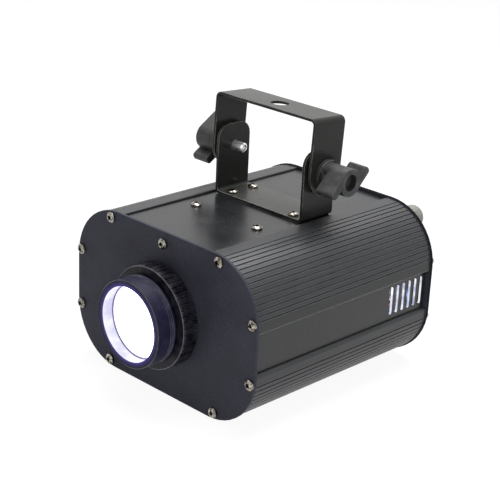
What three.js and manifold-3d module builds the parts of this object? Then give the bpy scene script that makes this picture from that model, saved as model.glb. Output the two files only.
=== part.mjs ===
// A small LED gobo projector, in millimetres, +Z up, lens towards -Y. Four ribbed corner
// extrusions and four flat panels stand between two rounded end plates. A lens barrel with a
// focus ring is on the front plate, and a yoke hangs the housing from a bracket on its top.
import * as THREE from "three";
import { mergeVertices } from "three/addons/utils/BufferGeometryUtils.js";
import Module from "manifold-3d";

const wasm = await Module();
wasm.setup();

// Clearances, and how finely round shapes are cut
const SEAT_GAP = 0.1; // between faces that are screwed together
const SLIDE_GAP = 0.3; // round a panel in its slot, and round all that turns or slides
const OVERRUN = 1; // how far a cutter passes the face that it cuts
const MERGE_DISTANCE = 0.0001;
const SMALL_SIDES = 10;
const PIN_SIDES = 24;
const ROUND_SIDES = 40;
const CORNER_STEPS = 6;
const BEND_STEPS = 3;
const CROWN_STEPS = 5;
const SLOT_END_STEPS = 6;
const HEX_SIDES = 6;
const SQUARE_TURN = Math.PI / 2;
const HALF_TURN = Math.PI;
const FULL_TURN = 2 * Math.PI;

// Housing
const HOUSING_WIDTH = 160;
const HOUSING_HEIGHT = 104.6;
const HOUSING_LENGTH = 159;
const SIDE_STRAIGHT = 30; // upright edge of the end plates between their rounded corners
const PLATE_SHEET = 2;
const BODY_INSET = 0.7; // how far the plates stand proud of the extrusions
const SHELL_WALL = 2.3;
const TOP_LIP_WALL = 1;
const TOP_LIP_SETBACK = 3.2; // from the start of the corner arc to the lip over the top panel
const SIDE_LIP_SETBACK = 2.2; // from the end of the corner arc to the lip over the side panel
const PANEL_SHEET = 1.5;
const PANEL_LAP = 2.7; // how far a panel reaches under a lip
const RAIL_WALL = 1.6;
const GROOVE_COUNT = 15;
const GROOVE_WIDTH = 0.9;
const GROOVE_DEPTH = 0.7;
const FIRST_GROOVE_DEG = 10;
const LAST_GROOVE_DEG = 81.3;

// Screws, and the channels in the extrusions that take them
const CHANNEL_RADIUS = 2.6;
const TOP_CHANNEL_INSET = 4.1; // from the plate's rounded outline
const TOP_CHANNEL_DEG = 8.5; // from upright, about the centre of the corner arc
const SIDE_CHANNEL_INSET = 3.5;
const SIDE_CHANNEL_DEG = 83.9;
const CENTRE_SCREW_INSET = 7.6;
const SCREW_HEAD_RADIUS = 3.35;
const SCREW_HEAD_HEIGHT = 2;
const SCREW_SHANK_RADIUS = 1.35;
const LONG_SCREW = 10;
const SHORT_SCREW = 5;

// Side vents
const VENT_COUNT = 6;
const VENT_WIDTH = 3.2;
const VENT_HEIGHT = 19.2;
const VENT_PITCH = 5.75;
const VENT_END_MARGIN = 7.25; // from the last vent's middle to the housing's rear face

// Bracket on the top panel
const BRACKET_LIP_GAP = 1.5; // from an ear's outer face to the lip beside it
const BRACKET_DEPTH = 27.7;
const BRACKET_SHEET = 1.8;
const BRACKET_BEND = 3.4;
const BRACKET_CENTRE_Y = 91.9;
const BRACKET_PIVOT_HEIGHT = 30.1; // above the top panel
const BRACKET_EAR_RISE = 14.6; // above the pivot
const BRACKET_EAR_RADIUS = 9;
const BRACKET_SCREW_INSET = 11; // from an ear's outer face
const BRACKET_SCREW_Y = 9.4;

// Yoke, clamp knobs and studs
const YOKE_ARM_GAP = 2.8; // between a bracket ear and a yoke arm
const YOKE_DEPTH = 26.9;
const YOKE_SHEET = 1.8;
const YOKE_BEND = 4;
const YOKE_REACH = 35.2; // from the pivot to the top of the strip
const YOKE_LEAN_DEG = 3.4;
const CLAMP_HOLE_RADIUS = 6;
const STUD_RADIUS = 3;
const STUD_REACH = 9.4; // past the ear's inner face
const STUD_CHAMFER = 0.8;
const WASHER_RADIUS = 9;
const KNOB_LENGTH = 20.4;
const KNOB_BOSS_RADIUS = 8.75;
const KNOB_FOOT_RADIUS = 10;
const KNOB_FOOT_LENGTH = 3.4;
const KNOB_RECESS_RADIUS = 5.25;
const KNOB_RECESS_DEPTH = 4;
const KNOB_FLOOR = 1.2; // between the recess and the end of the stud's bore
const KNOB_WING_REACH = 15.5;
const KNOB_WING_THICKNESS = 5.5;
const KNOB_WING_LENGTH = 13; // along the knob's axis, back from its outer face
const KNOB_WING_CORNER = 2;
const RIGHT_KNOB_DEG = 45;
const LEFT_KNOB_DEG = 148;

// Focus ring, barrel and lens
const RING_WALL = 3.7; // from the guide's slide gap to the top of the ribs
const RING_LENGTH = 11;
const RING_RIB_COUNT = 56;
const RING_RIB_DEPTH = 0.8;
const RING_COLLAR = 2;
const GUIDE_WALL = 3.2;
const GUIDE_FLANGE_STEP = 7.5; // from the guide's tube to the flange's rim
const GUIDE_FLANGE = 3;
const GUIDE_TAB_HALF_WIDTH = 7;
const GUIDE_TAB_RISE = 3.5;
const GUIDE_INNER_REACH = 10; // behind the flange
const BARREL_REACH = 26.7; // in front of the front plate
const BARREL_NECK_RADIUS = 25;
const BARREL_WALL = 4;
const BARREL_CELL_STEP = 2.3; // from the neck out to the lens cell
const BARREL_CELL_LENGTH = 13.5;
const BARREL_EDGE = 0.6;
const BARREL_MOUTH_DEPTH = 11;
const BARREL_TAIL = 8; // behind the front plate's front face
const LENS_RIM_GAP = 0.4;
const LENS_EDGE = 2.8;
const LENS_CROWN = 2.6;

// Optics bracket, light source and gobo wheel
const OPTICS_SHEET = 1.5;
const OPTICS_MOTOR_GAP = 2.2; // from the gobo motor to the arm beside it
const OPTICS_SHOULDER = 40; // above the optical axis, where the plate narrows to fit between the rails
const OPTICS_PLATE_Y = 44;
const OPTICS_FLANGE = 16;
const OPTICS_DROP = 32; // below the optical axis
const OPTICS_ARM_LENGTH = 50;
const OPTICS_ARM_HALF_HEIGHT = 22;
const PANEL_SCREW_INSET = 12.7; // from the lip over the top panel
const PANEL_SCREW_Y = 51.1;
const BEAM_RADIUS = 9;
const CONDENSER_RADIUS = 11.5;
const CONDENSER_THICKNESS = 7;
const SLEEVE_WALL = 1;
const SLEEVE_LENGTH = 16;
const LED_BOARD_RADIUS = 10;
const LED_BOARD_SHEET = 1.6;
const LED_DOME_RADIUS = 3;
const SINK_STAND_OFF = 22.5; // from the optics plate to the heat sink
const SINK_BASE = 5;
const SINK_DEPTH = 27;
const SINK_HEADROOM = 24.8; // over and under the heat sink, to the panels' outer faces
const SINK_FIN_COUNT = 9;
const SINK_FIN = 1.6;
const WHEEL_RADIUS = 32;
const WHEEL_SHEET = 1;
const WHEEL_GAP = 4; // in front of the optics plate
const WHEEL_PITCH_RADIUS = 24;
const WHEEL_HUB_RADIUS = 4.5;
const WHEEL_HUB_LENGTH = 3;
const GOBO_COUNT = 7;
const GOBO_RADIUS = 7.5;
const GOBO_RING_SHARE = 0.62; // of the gobo's radius, where its small holes lie
const GOBO_SPOT_SHARE = 0.2;
const MOTOR_RADIUS = 10.3;
const MOTOR_LENGTH = 18;
const MOTOR_SHAFT_RADIUS = 1.5;

// Fan, boards and what is on the rear plate
const FAN_SIZE = 50;
const FAN_DEPTH = 12;
const FAN_BORE_RADIUS = 23.2;
const FAN_HUB_RADIUS = 10;
const FAN_HUB_LENGTH = 8;
const FAN_SPIDER = 1.8;
const FAN_STRUT = 3;
const FAN_STRUT_COUNT = 3;
const FAN_BLADE_COUNT = 7;
const FAN_BLADE_CHORD = 9;
const FAN_BLADE_SHEET = 1.2;
const FAN_BLADE_PITCH_DEG = 32;
const FAN_SLOT_COUNT = 7;
const FAN_SLOT_WIDTH = 3.2;
const FAN_SLOT_PITCH = 6;
const FAN_SLOT_FIELD_RADIUS = 21;
const BOARD_LIP_LAP = 2.5; // how far the board passes the lips at its sides
const BOARD_START_Y = 60;
const BOARD_END_GAP = 20.9; // from the board to the rear plate
const BOARD_SHEET = 1.6;
const BOARD_STAND_OFF = 6;
const BOARD_POST_RADIUS = 3;
const BOARD_POST_INSET = 6;
const TRANSFORMER_WIDTH = 24;
const TRANSFORMER_LENGTH = 22;
const TRANSFORMER_HEIGHT = 9;
const CAPACITOR_RADIUS = 4;
const CAPACITOR_HEIGHT = 8;
const CAPACITOR_COUNT = 3;
const CAPACITOR_PITCH = 12;
const GLAND_SIDE_INSET = 34.5; // from the rear plate's side and top edges to the gland's middle
const GLAND_TOP_INSET = 17.1;
const GLAND_NUT_RADIUS = 8;
const GLAND_NUT_LENGTH = 19.4;
const GLAND_NUT_ROUND = 3.2;
const GLAND_HEX_RADIUS = 9.6;
const GLAND_HEX_LENGTH = 4.6;
const GLAND_THREAD_RADIUS = 7.5;
const GLAND_SPIGOT_RADIUS = 6.2;
const GLAND_SPIGOT_LENGTH = 8;
const GLAND_BORE_RADIUS = 3.4;
const GLAND_LOCK_LENGTH = 4;
const SWITCH_SIDE_INSET = 32;
const SWITCH_Z = -4;
const SWITCH_FLANGE_WIDTH = 15;
const SWITCH_FLANGE_HEIGHT = 21;
const SWITCH_FLANGE = 2;
const SWITCH_BODY_WIDTH = 12.6;
const SWITCH_BODY_HEIGHT = 18.6;
const SWITCH_BODY_DEPTH = 12;
const SWITCH_WALL = 1.2;
const ROCKER_HALF_HEIGHT = 7;
const ROCKER_RISE = 1.8;
const ROCKER_DIP = 0.6;
const ROCKER_SKIRT = 2;
const ROCKER_PIVOT_DEPTH = 3;
const ROCKER_KEEL = 3.2; // below the pivot
const ROCKER_TILT_DEG = 9;
const SPEED_SIDE_INSET = 34.5;
const SPEED_TOP_INSET = 22.3;
const SPEED_BODY_RADIUS = 8;
const SPEED_BODY_LENGTH = 8;
const SPEED_BUSH_RADIUS = 3.5;
const SPEED_NUT_RADIUS = 5.6;
const SPEED_NUT_LENGTH = 2.2;
const SPEED_SHAFT_RADIUS = 3;
const SPEED_SHAFT_LENGTH = 12;
const SPEED_KNOB_RADIUS = 7.5;
const SPEED_KNOB_TOP_RADIUS = 6.6;
const SPEED_KNOB_LENGTH = 15;

// Places that follow from the sizes above. The housing's pieces are drawn about the optical
// axis, so their Z is zero there.
const axisHeight = HOUSING_HEIGHT / 2;
const arcZ = SIDE_STRAIGHT / 2;
const cornerRadius = HOUSING_HEIGHT / 2 - arcZ;
const arcX = HOUSING_WIDTH / 2 - cornerRadius;
const shellRadius = cornerRadius - BODY_INSET;
const shellSide = HOUSING_WIDTH / 2 - BODY_INSET;
const shellTop = HOUSING_HEIGHT / 2 - BODY_INSET;
const shellFront = PLATE_SHEET + SEAT_GAP;
const shellRear = HOUSING_LENGTH - PLATE_SHEET - SEAT_GAP;
const topLipX = arcX - TOP_LIP_SETBACK;
const sideLipZ = arcZ - SIDE_LIP_SETBACK;
const panelTop = shellTop - TOP_LIP_WALL - SLIDE_GAP;
const panelSide = shellSide - SHELL_WALL - SLIDE_GAP;
const topPanelHalf = topLipX + PANEL_LAP;
const sidePanelHalf = sideLipZ + PANEL_LAP;
const bracketBase = panelTop + SEAT_GAP;
const bracketHalfWidth = topLipX - BRACKET_LIP_GAP;
const pivotY = BRACKET_CENTRE_Y;
const pivotZ = panelTop + BRACKET_PIVOT_HEIGHT;
const yokeHalfWidth = bracketHalfWidth + YOKE_ARM_GAP + YOKE_SHEET;
const knobStart = yokeHalfWidth + SLIDE_GAP;
const plateRear = HOUSING_LENGTH - PLATE_SHEET;
const neckSlide = BARREL_NECK_RADIUS + SLIDE_GAP;
const guideRadius = neckSlide + GUIDE_WALL;
const ringRadius = guideRadius + SLIDE_GAP + RING_WALL;
const barrelRadius = BARREL_NECK_RADIUS + BARREL_CELL_STEP;
const mouthRadius = barrelRadius - BARREL_WALL;
const glandX = HOUSING_WIDTH / 2 - GLAND_SIDE_INSET;
const glandZ = HOUSING_HEIGHT / 2 - GLAND_TOP_INSET;
const switchX = SWITCH_SIDE_INSET - HOUSING_WIDTH / 2;
const speedX = SPEED_SIDE_INSET - HOUSING_WIDTH / 2;
const speedZ = HOUSING_HEIGHT / 2 - SPEED_TOP_INSET;

const degrees = THREE.MathUtils.degToRad;

// Shapes as solids, and their joins and cuts

function solidOf(geometry) {
  const bare = geometry.clone();
  bare.deleteAttribute("normal");
  bare.deleteAttribute("uv");
  const merged = mergeVertices(bare, MERGE_DISTANCE);
  return new wasm.Manifold(
    new wasm.Mesh({
      numProp: 3,
      vertProperties: merged.attributes.position.array,
      triVerts: new Uint32Array(merged.index.array),
    }),
  );
}

function geometryOf(solid) {
  const mesh = solid.getMesh();
  const geometry = new THREE.BufferGeometry();
  geometry.setAttribute("position", new THREE.BufferAttribute(mesh.vertProperties, 3));
  geometry.setIndex(new THREE.BufferAttribute(mesh.triVerts, 1));
  geometry.computeVertexNormals();
  return geometry;
}

function join(...geometries) {
  return geometryOf(geometries.map(solidOf).reduce((whole, piece) => whole.add(piece)));
}

function cut(base, ...cutters) {
  return geometryOf(cutters.map(solidOf).reduce((rest, piece) => rest.subtract(piece), solidOf(base)));
}

function overlap(one, other) {
  return geometryOf(solidOf(one).intersect(solidOf(other)));
}

// A block between two ends on each axis
function block([x0, x1], [y0, y1], [z0, z1]) {
  return new THREE.BoxGeometry(x1 - x0, y1 - y0, z1 - z0).translate(
    (x0 + x1) / 2,
    (y0 + y1) / 2,
    (z0 + z1) / 2,
  );
}

// Round bars along X, Y and Z
function barX(radius, x0, x1, y = 0, z = 0, sides = PIN_SIDES) {
  const bar = new THREE.CylinderGeometry(radius, radius, x1 - x0, sides).rotateZ(SQUARE_TURN);
  return bar.translate((x0 + x1) / 2, y, z);
}

function barY(radius, y0, y1, x = 0, z = 0, sides = PIN_SIDES) {
  const bar = new THREE.CylinderGeometry(radius, radius, y1 - y0, sides);
  return bar.translate(x, (y0 + y1) / 2, z);
}

function barZ(radius, z0, z1, x = 0, y = 0, sides = PIN_SIDES) {
  const bar = new THREE.CylinderGeometry(radius, radius, z1 - z0, sides).rotateX(SQUARE_TURN);
  return bar.translate(x, y, (z0 + z1) / 2);
}

// A shape drawn in X and Z, run along Y
function runY(shape, y0, y1, curveSegments = CORNER_STEPS) {
  const settings = { depth: y1 - y0, bevelEnabled: false, curveSegments };
  return new THREE.ExtrudeGeometry(shape, settings).rotateX(SQUARE_TURN).translate(0, y1, 0);
}

// A shape drawn in Y and Z, run along X
function runX(shape, x0, x1, curveSegments = BEND_STEPS) {
  const settings = { depth: x1 - x0, bevelEnabled: false, curveSegments };
  const turn = new THREE.Matrix4().makeBasis(
    new THREE.Vector3(0, 1, 0),
    new THREE.Vector3(0, 0, 1),
    new THREE.Vector3(1, 0, 0),
  );
  return new THREE.ExtrudeGeometry(shape, settings).applyMatrix4(turn).translate(x0, 0, 0);
}

// A profile of [radius, along] points, turned about Y, or laid along X
function turnY(points, sides = ROUND_SIDES) {
  return new THREE.LatheGeometry(points.map(([r, y]) => new THREE.Vector2(r, y)), sides);
}

function turnX(points, sides = ROUND_SIDES) {
  const mirrored = points.map(([r, x]) => [r, -x]).reverse();
  return turnY(mirrored, sides).rotateZ(SQUARE_TURN);
}

function polygon(points) {
  return new THREE.Shape(points.map(([u, v]) => new THREE.Vector2(u, v)));
}

// Points at equal steps on an arc, both ends included
function arcPoints(u, v, radius, start, end, steps) {
  return Array.from({ length: steps + 1 }, (_, i) => {
    const angle = start + ((end - start) * i) / steps;
    return new THREE.Vector2(u + radius * Math.cos(angle), v + radius * Math.sin(angle));
  });
}

function roundHole(shape, u, v, radius, sides = SMALL_SIDES) {
  const ring = arcPoints(u, v, radius, 0, FULL_TURN, sides).slice(1);
  shape.holes.push(new THREE.Path(ring));
}

// An upright slot with round ends
function slotHole(shape, u, v, width, height) {
  const radius = width / 2;
  const reach = height / 2 - radius;
  const top = arcPoints(u, v + reach, radius, 0, HALF_TURN, SLOT_END_STEPS);
  const bottom = arcPoints(u, v - reach, radius, HALF_TURN, FULL_TURN, SLOT_END_STEPS);
  shape.holes.push(new THREE.Path([...top, ...bottom]));
}

// A U of sheet metal, open downwards, with its feet at v = low and its back at v = high
function channelShape(halfWidth, low, high, sheet, bend) {
  const u = new THREE.Shape();
  const inner = halfWidth - sheet;
  const bendX = halfWidth - bend;
  const bendZ = high - bend;
  u.moveTo(-halfWidth, low);
  u.lineTo(-halfWidth, bendZ);
  u.absarc(-bendX, bendZ, bend, HALF_TURN, SQUARE_TURN, true);
  u.absarc(bendX, bendZ, bend, SQUARE_TURN, 0, true);
  u.lineTo(halfWidth, low);
  u.lineTo(inner, low);
  u.absarc(bendX, bendZ, bend - sheet, 0, SQUARE_TURN, false);
  u.absarc(-bendX, bendZ, bend - sheet, SQUARE_TURN, HALF_TURN, false);
  u.lineTo(-inner, low);
  u.closePath();
  return u;
}

// Finishes

function finish(color, roughness, metalness) {
  return new THREE.MeshStandardMaterial({ color, roughness, metalness });
}

const blackPowderCoat = finish(0x26272a, 0.42, 0.1);
const blackExtrusion = finish(0x3b3c3d, 0.38, 0.3);
const blackAnodised = finish(0x1b1b1e, 0.35, 0.5);
const blackNylon = finish(0x2b2b2d, 0.55, 0);
const blackAbs = finish(0x1d1d1f, 0.5, 0);
const greyNylon = finish(0xb4b2ac, 0.5, 0);
const nickelSteel = finish(0xc9c6bf, 0.28, 1);
const zincSteel = finish(0xd2d4d6, 0.25, 1);
const bareAluminium = finish(0xb9bcc0, 0.4, 0.9);
const opticalGlass = finish(0xf1f3ff, 0.03, 0);
const fibreWasher = finish(0x33302c, 0.8, 0);
const circuitBoard = finish(0x1f5a3a, 0.5, 0.1);
const motorSteel = finish(0x8d9094, 0.4, 0.8);

// The scene graph: the housing's group lies on the optical axis
const fixture = new THREE.Group();
const housing = new THREE.Group();
housing.position.z = axisHeight;
fixture.add(housing);

function add(parent, name, geometry, material) {
  const mesh = new THREE.Mesh(geometry, material);
  mesh.name = name;
  parent.add(mesh);
  return mesh;
}

// Screws: pan head on a plain shank, drawn with the head's seat at the origin and the shank
// along +Y

function screwGeometry(length) {
  const crownShare = 0.62;
  const shoulderShare = 0.35;
  return turnY(
    [
      [0, -SCREW_HEAD_HEIGHT],
      [SCREW_HEAD_RADIUS * crownShare, -SCREW_HEAD_HEIGHT],
      [SCREW_HEAD_RADIUS, -SCREW_HEAD_HEIGHT * shoulderShare],
      [SCREW_HEAD_RADIUS, 0],
      [SCREW_SHANK_RADIUS, 0],
      [SCREW_SHANK_RADIUS, length],
      [0, length],
    ],
    SMALL_SIDES,
  );
}

// The two screw places in the upper right quarter, about the optical axis
function cornerPlaces() {
  const marks = [
    [TOP_CHANNEL_INSET, TOP_CHANNEL_DEG],
    [SIDE_CHANNEL_INSET, SIDE_CHANNEL_DEG],
  ];
  return marks.map(([inset, angle]) => {
    const reach = cornerRadius - inset;
    return [arcX + reach * Math.sin(degrees(angle)), arcZ + reach * Math.cos(degrees(angle))];
  });
}

// All eight places, with the names of their quarters
function platePlaces() {
  const quarters = [
    ["top_left", -1, 1],
    ["top_right", 1, 1],
    ["bottom_left", -1, -1],
    ["bottom_right", 1, -1],
  ];
  const edges = ["inner", "outer"];
  return quarters.flatMap(([quarter, sideX, sideZ]) =>
    cornerPlaces().map(([x, z], i) => ({ name: `${quarter}_${edges[i]}`, x: sideX * x, z: sideZ * z })),
  );
}

const centreScrewZ = HOUSING_HEIGHT / 2 - CENTRE_SCREW_INSET;
const screwHole = SCREW_SHANK_RADIUS + SEAT_GAP;

// End plates: the same rounded outline front and rear

function plateShape() {
  const plate = new THREE.Shape();
  plate.absarc(arcX, arcZ, cornerRadius, 0, SQUARE_TURN, false);
  plate.absarc(-arcX, arcZ, cornerRadius, SQUARE_TURN, HALF_TURN, false);
  plate.absarc(-arcX, -arcZ, cornerRadius, HALF_TURN, HALF_TURN + SQUARE_TURN, false);
  plate.absarc(arcX, -arcZ, cornerRadius, HALF_TURN + SQUARE_TURN, FULL_TURN, false);
  plate.closePath();
  for (const { x: u, z: v } of platePlaces()) roundHole(plate, u, v, screwHole);
  return plate;
}

function addPlates() {
  const front = plateShape();
  roundHole(front, 0, centreScrewZ, screwHole);
  const frontPlate = runY(front, 0, PLATE_SHEET);
  const guideHole = barY(guideRadius + SEAT_GAP, -OVERRUN, PLATE_SHEET + OVERRUN, 0, 0, ROUND_SIDES);
  add(housing, "front_plate", cut(frontPlate, guideHole), blackPowderCoat);

  const rear = plateShape();
  roundHole(rear, glandX, glandZ, GLAND_THREAD_RADIUS + SLIDE_GAP, PIN_SIDES);
  roundHole(rear, speedX, speedZ, SPEED_BUSH_RADIUS + SLIDE_GAP);
  fanSlots().forEach(([x, height]) => slotHole(rear, x, 0, FAN_SLOT_WIDTH, height));
  const switchHole = block(
    around(switchX, SWITCH_BODY_WIDTH / 2 + SLIDE_GAP),
    [plateRear - OVERRUN, HOUSING_LENGTH + OVERRUN],
    around(SWITCH_Z, SWITCH_BODY_HEIGHT / 2 + SLIDE_GAP),
  );
  add(housing, "rear_plate", cut(runY(rear, plateRear, HOUSING_LENGTH), switchHole), blackPowderCoat);
}

function around(middle, half) {
  return [middle - half, middle + half];
}

// Exhaust slots over the fan, as long as its round opening lets them be
function fanSlots() {
  const middle = (FAN_SLOT_COUNT - 1) / 2;
  return Array.from({ length: FAN_SLOT_COUNT }, (_, i) => {
    const x = (i - middle) * FAN_SLOT_PITCH;
    return [x, 2 * Math.sqrt(FAN_SLOT_FIELD_RADIUS ** 2 - x ** 2)];
  });
}

function addPlateScrews() {
  const long = screwGeometry(LONG_SCREW);
  platePlaces().forEach(({ name, x, z }) => {
    const front = add(housing, `front_screw_${name}`, long, nickelSteel);
    front.position.set(x, -SEAT_GAP, z);
    const rear = add(housing, `rear_screw_${name}`, long, nickelSteel);
    rear.position.set(x, HOUSING_LENGTH + SEAT_GAP, z);
    rear.rotation.z = HALF_TURN;
  });
  const centre = add(housing, "front_screw_centre", screwGeometry(SHORT_SCREW), nickelSteel);
  centre.position.set(0, -SEAT_GAP, centreScrewZ);
}

// Corner extrusions: a ribbed wall, two screw channels, and rails that hold the panels' edges

// The outer outline with its grooves, closed inwards over the lips' ends
function ribbedShape() {
  const points = [
    [topLipX, sideLipZ],
    [topLipX, shellTop],
    [arcX, shellTop],
  ];
  const step = (LAST_GROOVE_DEG - FIRST_GROOVE_DEG) / (GROOVE_COUNT - 1);
  const halfGroove = GROOVE_WIDTH / 2 / shellRadius;
  const floor = shellRadius - GROOVE_DEPTH;
  for (let i = 0; i < GROOVE_COUNT; i += 1) {
    const middle = degrees(FIRST_GROOVE_DEG + i * step);
    points.push(onArc(middle - halfGroove, shellRadius), onArc(middle - halfGroove / 2, floor));
    points.push(onArc(middle + halfGroove / 2, floor), onArc(middle + halfGroove, shellRadius));
  }
  points.push([shellSide, arcZ], [shellSide, sideLipZ]);
  return polygon(points);
}

// A point on a circle about the corner's centre, by its angle from upright
function onArc(angle, radius) {
  return [arcX + radius * Math.sin(angle), arcZ + radius * Math.cos(angle)];
}

// The hollow behind the wall, thinner under the top lip
function hollowShape() {
  const slotX = topPanelHalf + SLIDE_GAP;
  const hollow = new THREE.Shape();
  hollow.moveTo(topLipX - OVERRUN, sideLipZ - OVERRUN);
  hollow.lineTo(topLipX - OVERRUN, shellTop - TOP_LIP_WALL);
  hollow.lineTo(slotX, shellTop - TOP_LIP_WALL);
  hollow.lineTo(slotX, shellTop - SHELL_WALL);
  hollow.absarc(arcX, arcZ, shellRadius - SHELL_WALL, SQUARE_TURN, 0, true);
  hollow.lineTo(shellSide - SHELL_WALL, sideLipZ - OVERRUN);
  hollow.closePath();
  return hollow;
}

function cornerGeometry() {
  const [top, side] = cornerPlaces();
  const railTop = panelTop - PANEL_SHEET - SLIDE_GAP;
  const railSide = panelSide - PANEL_SHEET - SLIDE_GAP;
  const span = [shellFront, shellRear];
  const wall = cut(runY(ribbedShape(), ...span), runY(hollowShape(), -OVERRUN, HOUSING_LENGTH));
  const topRail = block([topLipX + SLIDE_GAP, top[0]], span, [railTop - RAIL_WALL, railTop]);
  const sideRail = block([railSide - RAIL_WALL, railSide], span, [sideLipZ + SLIDE_GAP, side[1]]);
  const channels = cornerPlaces().map(([x, z]) => barY(CHANNEL_RADIUS, ...span, x, z, SMALL_SIDES));
  const holes = cornerPlaces().map(([x, z]) =>
    barY(SCREW_SHANK_RADIUS + SEAT_GAP, -OVERRUN, HOUSING_LENGTH, x, z, SMALL_SIDES),
  );
  const whole = join(wall, topRail, sideRail, ...channels);
  return cut(overlap(whole, runY(ribbedShape(), ...span)), ...holes);
}

function addCorners() {
  const corner = cornerGeometry();
  const quarters = [
    ["top_left_profile", -1, 1],
    ["top_right_profile", 1, 1],
    ["bottom_left_profile", -1, -1],
    ["bottom_right_profile", 1, -1],
  ];
  for (const [name, sideX, sideZ] of quarters)
    add(housing, name, corner, blackExtrusion).scale.set(sideX, 1, sideZ);
}

// Flat panels, slid into the extrusions from their ends

function addPanels() {
  const span = [shellFront, shellRear];
  const sheet = block([-topPanelHalf, topPanelHalf], span, [panelTop - PANEL_SHEET, panelTop]);
  const places = [...bracketScrewPlaces(), ...panelScrewPlaces()];
  const holes = places.map(({ x, y }) =>
    barZ(screwHole, panelTop - PANEL_SHEET - OVERRUN, panelTop + OVERRUN, x, y, SMALL_SIDES),
  );
  add(housing, "top_panel", cut(sheet, ...holes), blackPowderCoat);
  const floor = block([-topPanelHalf, topPanelHalf], span, [-panelTop, PANEL_SHEET - panelTop]);
  add(housing, "bottom_panel", floor, blackPowderCoat);

  const side = polygon([
    [shellFront, -sidePanelHalf],
    [shellRear, -sidePanelHalf],
    [shellRear, sidePanelHalf],
    [shellFront, sidePanelHalf],
  ]);
  for (let i = 0; i < VENT_COUNT; i += 1)
    slotHole(side, HOUSING_LENGTH - VENT_END_MARGIN - i * VENT_PITCH, 0, VENT_WIDTH, VENT_HEIGHT);
  add(housing, "right_side_panel", runX(side, panelSide - PANEL_SHEET, panelSide), blackPowderCoat);
  add(housing, "left_side_panel", runX(side, -panelSide, PANEL_SHEET - panelSide), blackPowderCoat);
}

function bracketScrewPlaces() {
  const rows = { front: -BRACKET_SCREW_Y, rear: BRACKET_SCREW_Y };
  const screwX = bracketHalfWidth - BRACKET_SCREW_INSET;
  const columns = { left: -screwX, right: screwX };
  return Object.entries(rows).flatMap(([row, dy]) =>
    Object.entries(columns).map(([column, x]) => ({ name: `${row}_${column}`, x, y: BRACKET_CENTRE_Y + dy })),
  );
}

function panelScrewPlaces() {
  const x = topLipX - PANEL_SCREW_INSET;
  return [
    { name: "left", x: -x, y: PANEL_SCREW_Y },
    { name: "right", x, y: PANEL_SCREW_Y },
  ];
}

function addTopScrews() {
  const short = screwGeometry(SHORT_SCREW).rotateX(-SQUARE_TURN);
  for (const { name, x, y } of bracketScrewPlaces())
    add(housing, `bracket_screw_${name}`, short, nickelSteel).position.set(
      x,
      y,
      bracketBase + BRACKET_SHEET + SEAT_GAP,
    );
  for (const { name, x, y } of panelScrewPlaces())
    add(housing, `panel_screw_${name}`, short, nickelSteel).position.set(x, y, panelTop + SEAT_GAP);
}

// Mounting bracket: a U of sheet steel whose ears carry the studs

function addBracket() {
  const depth = BRACKET_DEPTH / 2;
  const earTop = pivotZ + BRACKET_EAR_RISE;
  const u = channelShape(bracketHalfWidth, -earTop, -bracketBase, BRACKET_SHEET, BRACKET_BEND);
  const bent = runY(u, pivotY - depth, pivotY + depth, BEND_STEPS).rotateY(HALF_TURN);
  const roundY = depth - BRACKET_EAR_RADIUS;
  const roundZ = earTop - BRACKET_EAR_RADIUS;
  const ear = new THREE.Shape();
  ear.moveTo(pivotY - depth, 0);
  ear.lineTo(pivotY + depth, 0);
  ear.absarc(pivotY + roundY, roundZ, BRACKET_EAR_RADIUS, 0, SQUARE_TURN);
  ear.absarc(pivotY - roundY, roundZ, BRACKET_EAR_RADIUS, SQUARE_TURN, HALF_TURN);
  ear.closePath();
  const trimmed = overlap(bent, runX(ear, -HOUSING_WIDTH / 2, HOUSING_WIDTH / 2));
  const pinHole = barX(STUD_RADIUS + SLIDE_GAP, -HOUSING_WIDTH / 2, HOUSING_WIDTH / 2, pivotY, pivotZ);
  const holes = bracketScrewPlaces().map(({ x, y }) =>
    barZ(screwHole, bracketBase - OVERRUN, bracketBase + BRACKET_SHEET + OVERRUN, x, y, SMALL_SIDES),
  );
  add(housing, "mounting_bracket", cut(trimmed, pinHole, ...holes), blackPowderCoat);
}

// Yoke, drawn about its pivot and leaned back as in use

function addYoke() {
  const depth = YOKE_DEPTH / 2;
  const u = channelShape(yokeHalfWidth, -depth, YOKE_REACH, YOKE_SHEET, YOKE_BEND);
  const arm = new THREE.Shape();
  arm.moveTo(depth, YOKE_REACH);
  arm.lineTo(-depth, YOKE_REACH);
  arm.absarc(0, 0, depth, HALF_TURN, FULL_TURN, false);
  arm.closePath();
  const armSpan = [-HOUSING_WIDTH / 2, HOUSING_WIDTH / 2];
  const bent = overlap(runY(u, -depth, depth, BEND_STEPS), runX(arm, ...armSpan, CORNER_STEPS));
  const pinHole = barX(STUD_RADIUS + SLIDE_GAP, ...armSpan);
  const clampHole = barZ(CLAMP_HOLE_RADIUS, YOKE_REACH - YOKE_SHEET - OVERRUN, YOKE_REACH + OVERRUN);
  const yoke = add(housing, "yoke", cut(bent, pinHole, clampHole), blackPowderCoat);
  yoke.position.set(0, pivotY, pivotZ);
  yoke.rotation.x = degrees(-YOKE_LEAN_DEG);
}

// Clamp knobs with two offset wings, their studs, and the washers between ear and arm. Each
// side's group has its X pointing outwards.

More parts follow.
